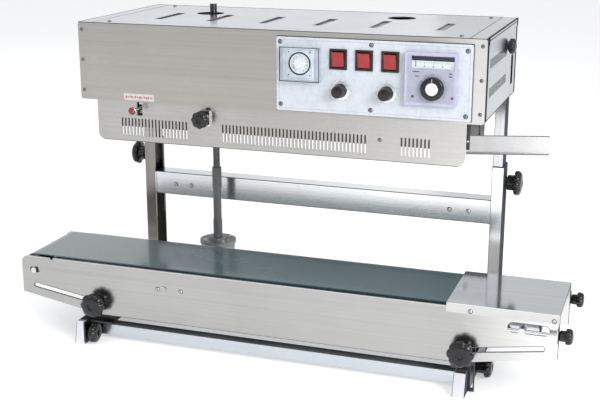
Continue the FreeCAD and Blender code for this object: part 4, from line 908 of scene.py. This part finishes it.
panel_low, panel_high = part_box("control_panel")
PANEL_FACE = panel_low.y
timer_low, timer_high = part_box("timer_body")
BEZEL = 2.5 * MM
bezel_front = PANEL_FACE - BEZEL
bm = bmesh.new()
add_box(bm, (timer_low.x + 2 * MM, PANEL_FACE + 1 * MM, timer_low.z + 2 * MM),
        (timer_high.x - 2 * MM, timer_high.y, timer_high.z - 2 * MM))
add_box(bm, (timer_low.x, bezel_front, timer_low.z), (timer_high.x, PANEL_FACE, timer_high.z), 0,
        0.8 * MM)
add_box(bm, (timer_low.x + 6 * MM, timer_low.y + 9 * MM, timer_low.z + 4 * MM),
        (timer_high.x - 1 * MM, bezel_front, timer_high.z - 4 * MM), 0, 1 * MM)
piece("timer_case", bm, [PALE], "head", ["timer_body"], 40.0)

face = offset(timer_low, 26, 9, 23.4)
bm = bmesh.new()
turned(bm, offset(face, 0, 0.2, 0), FORWARD,
       [(16.2, 0), (16.2, 1.4), (14.4, 1.4), (14.2, 0.3), (2, 0.3)], 64,
       finish=lambda i: 1 if i > 2 else 0)
ticks(bm, offset(face, 0, -0.1, 0), 9.8, 12.2, 0.5, 13, 240, 300)
ticks(bm, offset(face, 0, -0.1, 0), 10.8, 12.0, 0.3, 49, 240, 300, 2)
piece("timer_dial", bm, [NEAR_BLACK, WHITE, GREY_INK], smooth=35.0)
bm = bmesh.new()
turned(bm, face, FORWARD, [(8.6, 0), (8.4, 2.4), (7.4, 3.0), (1, 3.1)])
piece("timer_knob", bm, [WHITE], smooth=30.0)
bm = bmesh.new()
add_box(bm, offset(face, -9.6, -0.6, -5.4), offset(face, -7.6, -0.1, -3.6))
for x in (-16.5, 15):
    for z in (16.15, -16.15):
        turned(bm, offset(face, x, 0, z), FORWARD, [(1.1, 0), (0.9, 0.4), (0.2, 0.5)], 12,
               finish=second)
piece("timer_marks", bm, [RED_INK, NEAR_BLACK])

WALL = 0.9 * MM
outline = (timer_low.x - 1 * MM, timer_low.z - 1 * MM, timer_high.x + 11 * MM,
           timer_high.z + 1 * MM)
inside = (outline[0] + WALL, outline[1] + WALL, outline[2] - WALL, outline[3] - WALL)
bm = bmesh.new()
add_box(bm, (outline[0], timer_low.y, outline[1]), (outline[2], timer_low.y + WALL, outline[3]))
add_border(bm, outline, inside, timer_low.y + WALL, bezel_front - 0.1 * MM)
piece("timer_cover", bm, [CLEAR])

# ------------------------------ instrument knobs

for name in ("speed_knob", "seal_time_knob"):
    spot = middle(name)
    spot.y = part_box(name)[0].y
    bm = bmesh.new()
    turned(bm, spot, FORWARD, [
        (3, -30), (3, -17.6), (9.8, -17.6), (10, -13.5), (9.4, -12.6), (9.2, -12), (8.8, -1.6),
        (8.3, -0.5), (7.2, 0), (2, 0)], 90, fluted(30, 0.28, 0, -12.5, -1.0))
    add_box(bm, offset(spot, -0.45, 0, 1.5), offset(spot, 0.45, 0.3, 6.2), 1)
    piece(name + "_cap", bm, [BLACK, WHITE], name, [name], 40.0)
    bm = bmesh.new()
    turned(bm, (spot.x, PANEL_FACE + 0.1 * MM, spot.z), FORWARD,
           [(13.2, 0), (13.2, 0.5), (12.6, 0.8), (4, 0.8)], 64)
    piece(name + "_plate", bm, [SCREW], smooth=30.0)
    bm = bmesh.new()
    ticks(bm, Vector((spot.x, PANEL_FACE - 0.05 * MM, spot.z)), 14.4, 16.4, 0.4, 11, 240, 300)
    piece(name + "_ticks", bm, [NEAR_BLACK])

# ------------------------------ panel line, painted shade round the panel, and label

head_low, head_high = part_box("head_front_panel")
bm = bmesh.new()
add_border(bm, rectangle(panel_low, panel_high, 3.6 * MM),
           rectangle(panel_low, panel_high, 4.1 * MM), PANEL_FACE - 0.1 * MM,
           PANEL_FACE + 0.1 * MM)
piece("panel_line", bm, [GREY_INK])

# Painted shade: a black border in the gap round the control panel's sides.
bm = bmesh.new()
add_border(bm, rectangle(panel_low, panel_high, -0.5 * MM), rectangle(panel_low, panel_high),
           PANEL_FACE + 1.2 * MM, head_low.y - 0.1 * MM)
piece("panel_shade_border", bm, [NEAR_BLACK])

bm = bmesh.new()
add_box(bm, offset(head_low, 72.5, -0.4, 2), offset(head_low, 122, 0.1, 12.4))
for k, wide in enumerate((2.4, 1.4, 2.8, 1.2, 2.2, 1.6, 2.6, 1.2, 2.0, 2.6, 1.4, 2.4)):
    x = 75.5 + k * 3.72
    add_box(bm, offset(head_low, x, -0.6, 5.2 + (k % 3) * 0.5),
            offset(head_low, x + wide, -0.3, 8.8 - (k % 2) * 0.6), 1)
piece("guard_label", bm, [PAPER, PRINT])

# ------------------------------ block behind the infeed rails

infeed_corner = Vector((head_high.x, head_low.y, head_low.z))
bm = bmesh.new()
for low, high in (((-23.8, 1.5, -36), (-18.8, 6, -0.2)), ((-22, 11, -20), (-7, 20, -0.2))):
    add_box(bm, offset(infeed_corner, *low), offset(infeed_corner, *high), 0, 0.4 * MM)
for x, y, z, tall in ((-15.5, 9, -17, 15), (-10, 9.5, -14, 8)):
    turned(bm, offset(infeed_corner, x, y, z), UPWARD,
           [(1.5, 0), (1.5, tall * 0.8), (1.1, tall)], 16, finish=second)
turned(bm, offset(infeed_corner, -21, 1.7, -24), FORWARD, [(1.5, 0), (1.4, 0.7), (0.4, 0.9)], 16,
       finish=second)
piece("guide_bracket_block", bm, [MATT, SCREW], smooth=35.0)

# ------------------------------ rings of painted shade round the front plate's holes

RIM_WIDE, RIM_PROUD, ARC_STEPS = 0.9 * MM, 0.25 * MM, 12


def slot_shade_ring(bm, start, run, rise, half):
    """Dark ring of painted shade round a long hole that goes from start by run and rise."""
    heading = math.atan2(rise, run)
    ends = ((start.x + run, start.z + rise, -0.5), (start.x, start.z, 0.5))
    rows = []
    for reach, level in ((half, 0.0), (half, RIM_PROUD), (half + RIM_WIDE, RIM_PROUD),
                         (half + RIM_WIDE, 0.0)):
        row = []
        for x, z, turn in ends:
            for step in range(ARC_STEPS + 1):
                angle = heading + math.pi * (turn + step / ARC_STEPS)
                row.append(bm.verts.new((x + reach * math.cos(angle), start.y - level,
                                         z + reach * math.sin(angle))))
        rows.append(row)
    for one, two in zip(rows, rows[1:] + rows[:1]):
        for i in range(len(one)):
            j = (i + 1) % len(one)
            bm.faces.new((one[i], one[j], two[j], two[i]))


CLAMP_RUN, CLAMP_RISE, CLAMP_HALF = 108 * MM, 16.5 * MM, 3.4 * MM
plate_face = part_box("conveyor_front_plate")[1].y - 5 * MM
bm = bmesh.new()
for knob, side in (("left_clamp_knob", -1), ("right_clamp_knob", 1)):
    start = middle(knob)
    start.y = plate_face
    slot_shade_ring(bm, start, side * CLAMP_RUN, CLAMP_RISE, CLAMP_HALF)
start = offset(middle("tension_axle"), -12.8, 0, 1.6)
start.y = plate_face
slot_shade_ring(bm, start, 42.4 * MM, 0.0, 6.8 * MM)
piece("slot_shade_rings", bm, [DARK_LINE], "conveyor", smooth=30.0)

# ------------------------------ plate round the pressure knob

knob = middle("pressure_knob")
knob.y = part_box("lower_guard")[0].y
bm = bmesh.new()
add_box(bm, offset(knob, -4.2, -0.8, -10.2), offset(knob, 11, -0.1, 11.8))
add_box(bm, offset(knob, 4.7, -0.1, -10.2), offset(knob, 11, 3.9, 11.8))
# Painted shade: a black strip in the slot above the bracket.
add_box(bm, offset(knob, 4.7, 3.5, 12.2), offset(knob, 11, 3.9, 16.3), 1)
add_box(bm, offset(knob, -5, 3.7, 11.9), offset(knob, 4.7, 3.9, 16.8), 2)
piece("pressure_plate", bm, [CHROME, NEAR_BLACK, GUARD])

# ------------------------------ seams and vents of the head top

cover_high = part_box("head_top_cover")[1]
left, right = head_low.x + 0.5 * MM, head_high.x - 0.5 * MM
front, back = head_low.y + 0.7 * MM, cover_high.y - 0.7 * MM
RIM, LINE, FOLD = 23 * MM, 1 * MM, 0.8 * MM
bm = bmesh.new()
for x0, x1, y1 in ((left + RIM, left + RIM + LINE, back), (right - RIM - LINE, right - RIM, back),
                   (left, right, front + FOLD), (left, left + FOLD, back),
                   (right - FOLD, right, back)):
    add_box(bm, (x0, front, cover_high.z - 0.3 * MM), (x1, y1, cover_high.z + 0.12 * MM))
add_box(bm, (right, head_low.y + 3 * MM, head_low.z + 1.5 * MM),
        (head_high.x + 0.12 * MM, head_low.y + 4 * MM, head_high.z - 1.5 * MM))
piece("top_seams", bm, [DARK_LINE])

VENT_PITCH, VENT_COUNT = 84.6, 5
vents = [92 + k * VENT_PITCH for k in range(VENT_COUNT)] + [527.5]
vent_front = Vector((head_low.x, head_low.y, cover_high.z))
# Painted shade: grey sheets under the top vents and black sheets behind the side vents stand in for
# the dark inside of the head.
bm = bmesh.new()
for x in vents:
    add_box(bm, offset(vent_front, x - 2, 67, -3.2), offset(vent_front, x + 15, 161, -2.6))
for z in (28, 68):
    add_box(bm, offset(infeed_corner, -2.8, 30, z), offset(infeed_corner, -2.2, 179, z + 19), 1)
piece("vent_shade_sheets", bm, [SHALE, NEAR_BLACK])

# ------------------------------ rubber pad on the left shelf

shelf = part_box("left_conveyor_bracket")[0]
bm = bmesh.new()
add_box(bm, offset(shelf, 16, 28, 32.5), offset(shelf, 49, 152, 33.2), 0, 0.2 * MM)
piece("shelf_pad", bm, [MATT], "base")

# ------------------------------ gearbox bolts

BOLT_HEAD = [(2.7, 0), (2.7, 1.6), (2.2, 2.0)]
house_low, house_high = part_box("conveyor_gearbox")
house = Vector((house_high.x, house_low.y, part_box("conveyor_front_plate")[1].z))
bm = bmesh.new()
for k in range(4):
    angle = math.radians(45 + 90 * k)
    across, along = math.cos(angle), math.sin(angle)
    top = offset(house, -30 + 23 * across, 76.6 + 23 * along, -11.5)
    turned(bm, top, UPWARD, [(3.4, 0), (3.4, 0.3)], 24)
    turned(bm, offset(top, 0, 0, 0.3), UPWARD, BOLT_HEAD, 6)
    rear = offset(house, -30 + 18.5 * across, 5, -29 + 18.5 * along)
    turned(bm, rear, BACKWARD, BOLT_HEAD, 6)
piece("gearbox_bolts", bm, [SCREW], "conveyor", smooth=30.0)

# ------------------------------ softened edges on the CAD sheet

SOFT_EDGE = {
    0.5 * MM: ("left_foot", "right_foot", "front_cross_tube", "left_outer_column",
               "right_outer_column", "left_inner_column", "right_inner_column",
               "column_crossbeam", "conveyor_end_cover", "conveyor_gearbox", "power_switch",
               "heater_switch", "fan_switch", "rocker_bezels"),
    0.3 * MM: ("left_conveyor_bracket", "right_conveyor_bracket", "conveyor_front_plate",
               "conveyor_rear_plate", "infeed_guides", "head_front_panel", "control_panel",
               "temperature_controller"),
}
for width, nodes in SOFT_EDGE.items():
    for node in nodes:
        soften = frame["nodes"][node].modifiers.new("soft_edge", "BEVEL")
        soften.width = width
        soften.segments = 2
        soften.limit_method = "ANGLE"
        soften.angle_limit = math.radians(50)
        soften.use_clamp_overlap = True
        soften.harden_normals = False

# ------------------------------ floor

FLOOR = plastic("floor_pale", (0.80, 0.80, 0.80), (0.83, 0.83, 0.83), (0.55, 0.7), 40.0, 0.0,
                Emission_Color=(1, 1, 1, 1), Emission_Strength=0.42)
bm = bmesh.new()
bmesh.ops.create_grid(bm, x_segments=1, y_segments=1, size=12.0)
floor_mesh = bpy.data.meshes.new("floor")
bm.to_mesh(floor_mesh)
bm.free()
floor_mesh.materials.append(FLOOR)
floor = bpy.data.objects.new("floor", floor_mesh)
bpy.context.scene.collection.objects.link(floor)

# ------------------------------ studio light


def studio_world():
    """Pale surround, brightest at the floor and greyer overhead."""
    world = bpy.data.worlds.new("studio")
    world.use_nodes = True
    bpy.context.scene.world = world
    tree = world.node_tree
    background = tree.nodes["Background"]
    where = tree.nodes.new("ShaderNodeTexCoord")
    split = tree.nodes.new("ShaderNodeSeparateXYZ")
    ramp = tree.nodes.new("ShaderNodeValToRGB")
    tree.links.new(where.outputs["Generated"], split.inputs["Vector"])
    tree.links.new(split.outputs["Z"], ramp.inputs["Fac"])
    tree.links.new(ramp.outputs["Color"], background.inputs["Color"])
    stops = ramp.color_ramp.elements
    stops[0].position, stops[0].color = 0.0, (1.0, 1.0, 1.0, 1)
    stops[1].position, stops[1].color = 1.0, (0.60, 0.60, 0.61, 1)
    for position, shade in ((0.10, 0.80), (0.36, 0.68), (0.55, 0.60), (0.75, 0.50)):
        stop = stops.new(position)
        stop.color = (shade * 0.96, shade * 0.985, shade, 1)
    background.inputs["Strength"].default_value = 0.95


def area_light(name, at, aim, size, power):
    """Soft rectangular light at a place, aimed at another; power is in watts."""
    lamp = bpy.data.lights.new(name, "AREA")
    lamp.shape = "RECTANGLE"
    lamp.size, lamp.size_y = size
    lamp.energy = power
    obj = bpy.data.objects.new(name, lamp)
    bpy.context.scene.collection.objects.link(obj)
    obj.location = at
    obj.rotation_euler = (Vector(aim) - Vector(at)).to_track_quat("-Z", "Y").to_euler()
    obj.visible_camera = False


studio_world()
area_light("key", (2.2, -1.7, 1.7), (0.3, -0.5, 0.0), (1.8, 1.6), 45)
area_light("side", (1.5, -1.3, 1.0), (0.75, -0.8, 0.0), (0.6, 0.6), 16)
area_light("fill", (-2.2, -2.0, 1.8), (-0.2, 0, 0.25), (1.6, 1.6), 10)
area_light("overhead", (0.0, -0.4, 3.0), (0, 0, 0.3), (3.0, 2.0), 20)
area_light("rim", (-1.6, 3.0, 1.3), (0, 0, 0.3), (2.4, 1.4), 3)
bpy.context.scene.view_settings.view_transform = "Standard"

# ------------------------------ camera

camera = bpy.data.cameras.new("camera")
camera.lens = 67.29
camera.sensor_width = 36.0
camera.clip_start, camera.clip_end = 0.05, 60.0
eye = bpy.data.objects.new("camera", camera)
bpy.context.scene.collection.objects.link(eye)
eye.location = (0.53694, -1.59294, 0.68566)
eye.rotation_euler = (math.radians(74.4), 0.0, math.radians(19.1))
bpy.context.scene.camera = eye
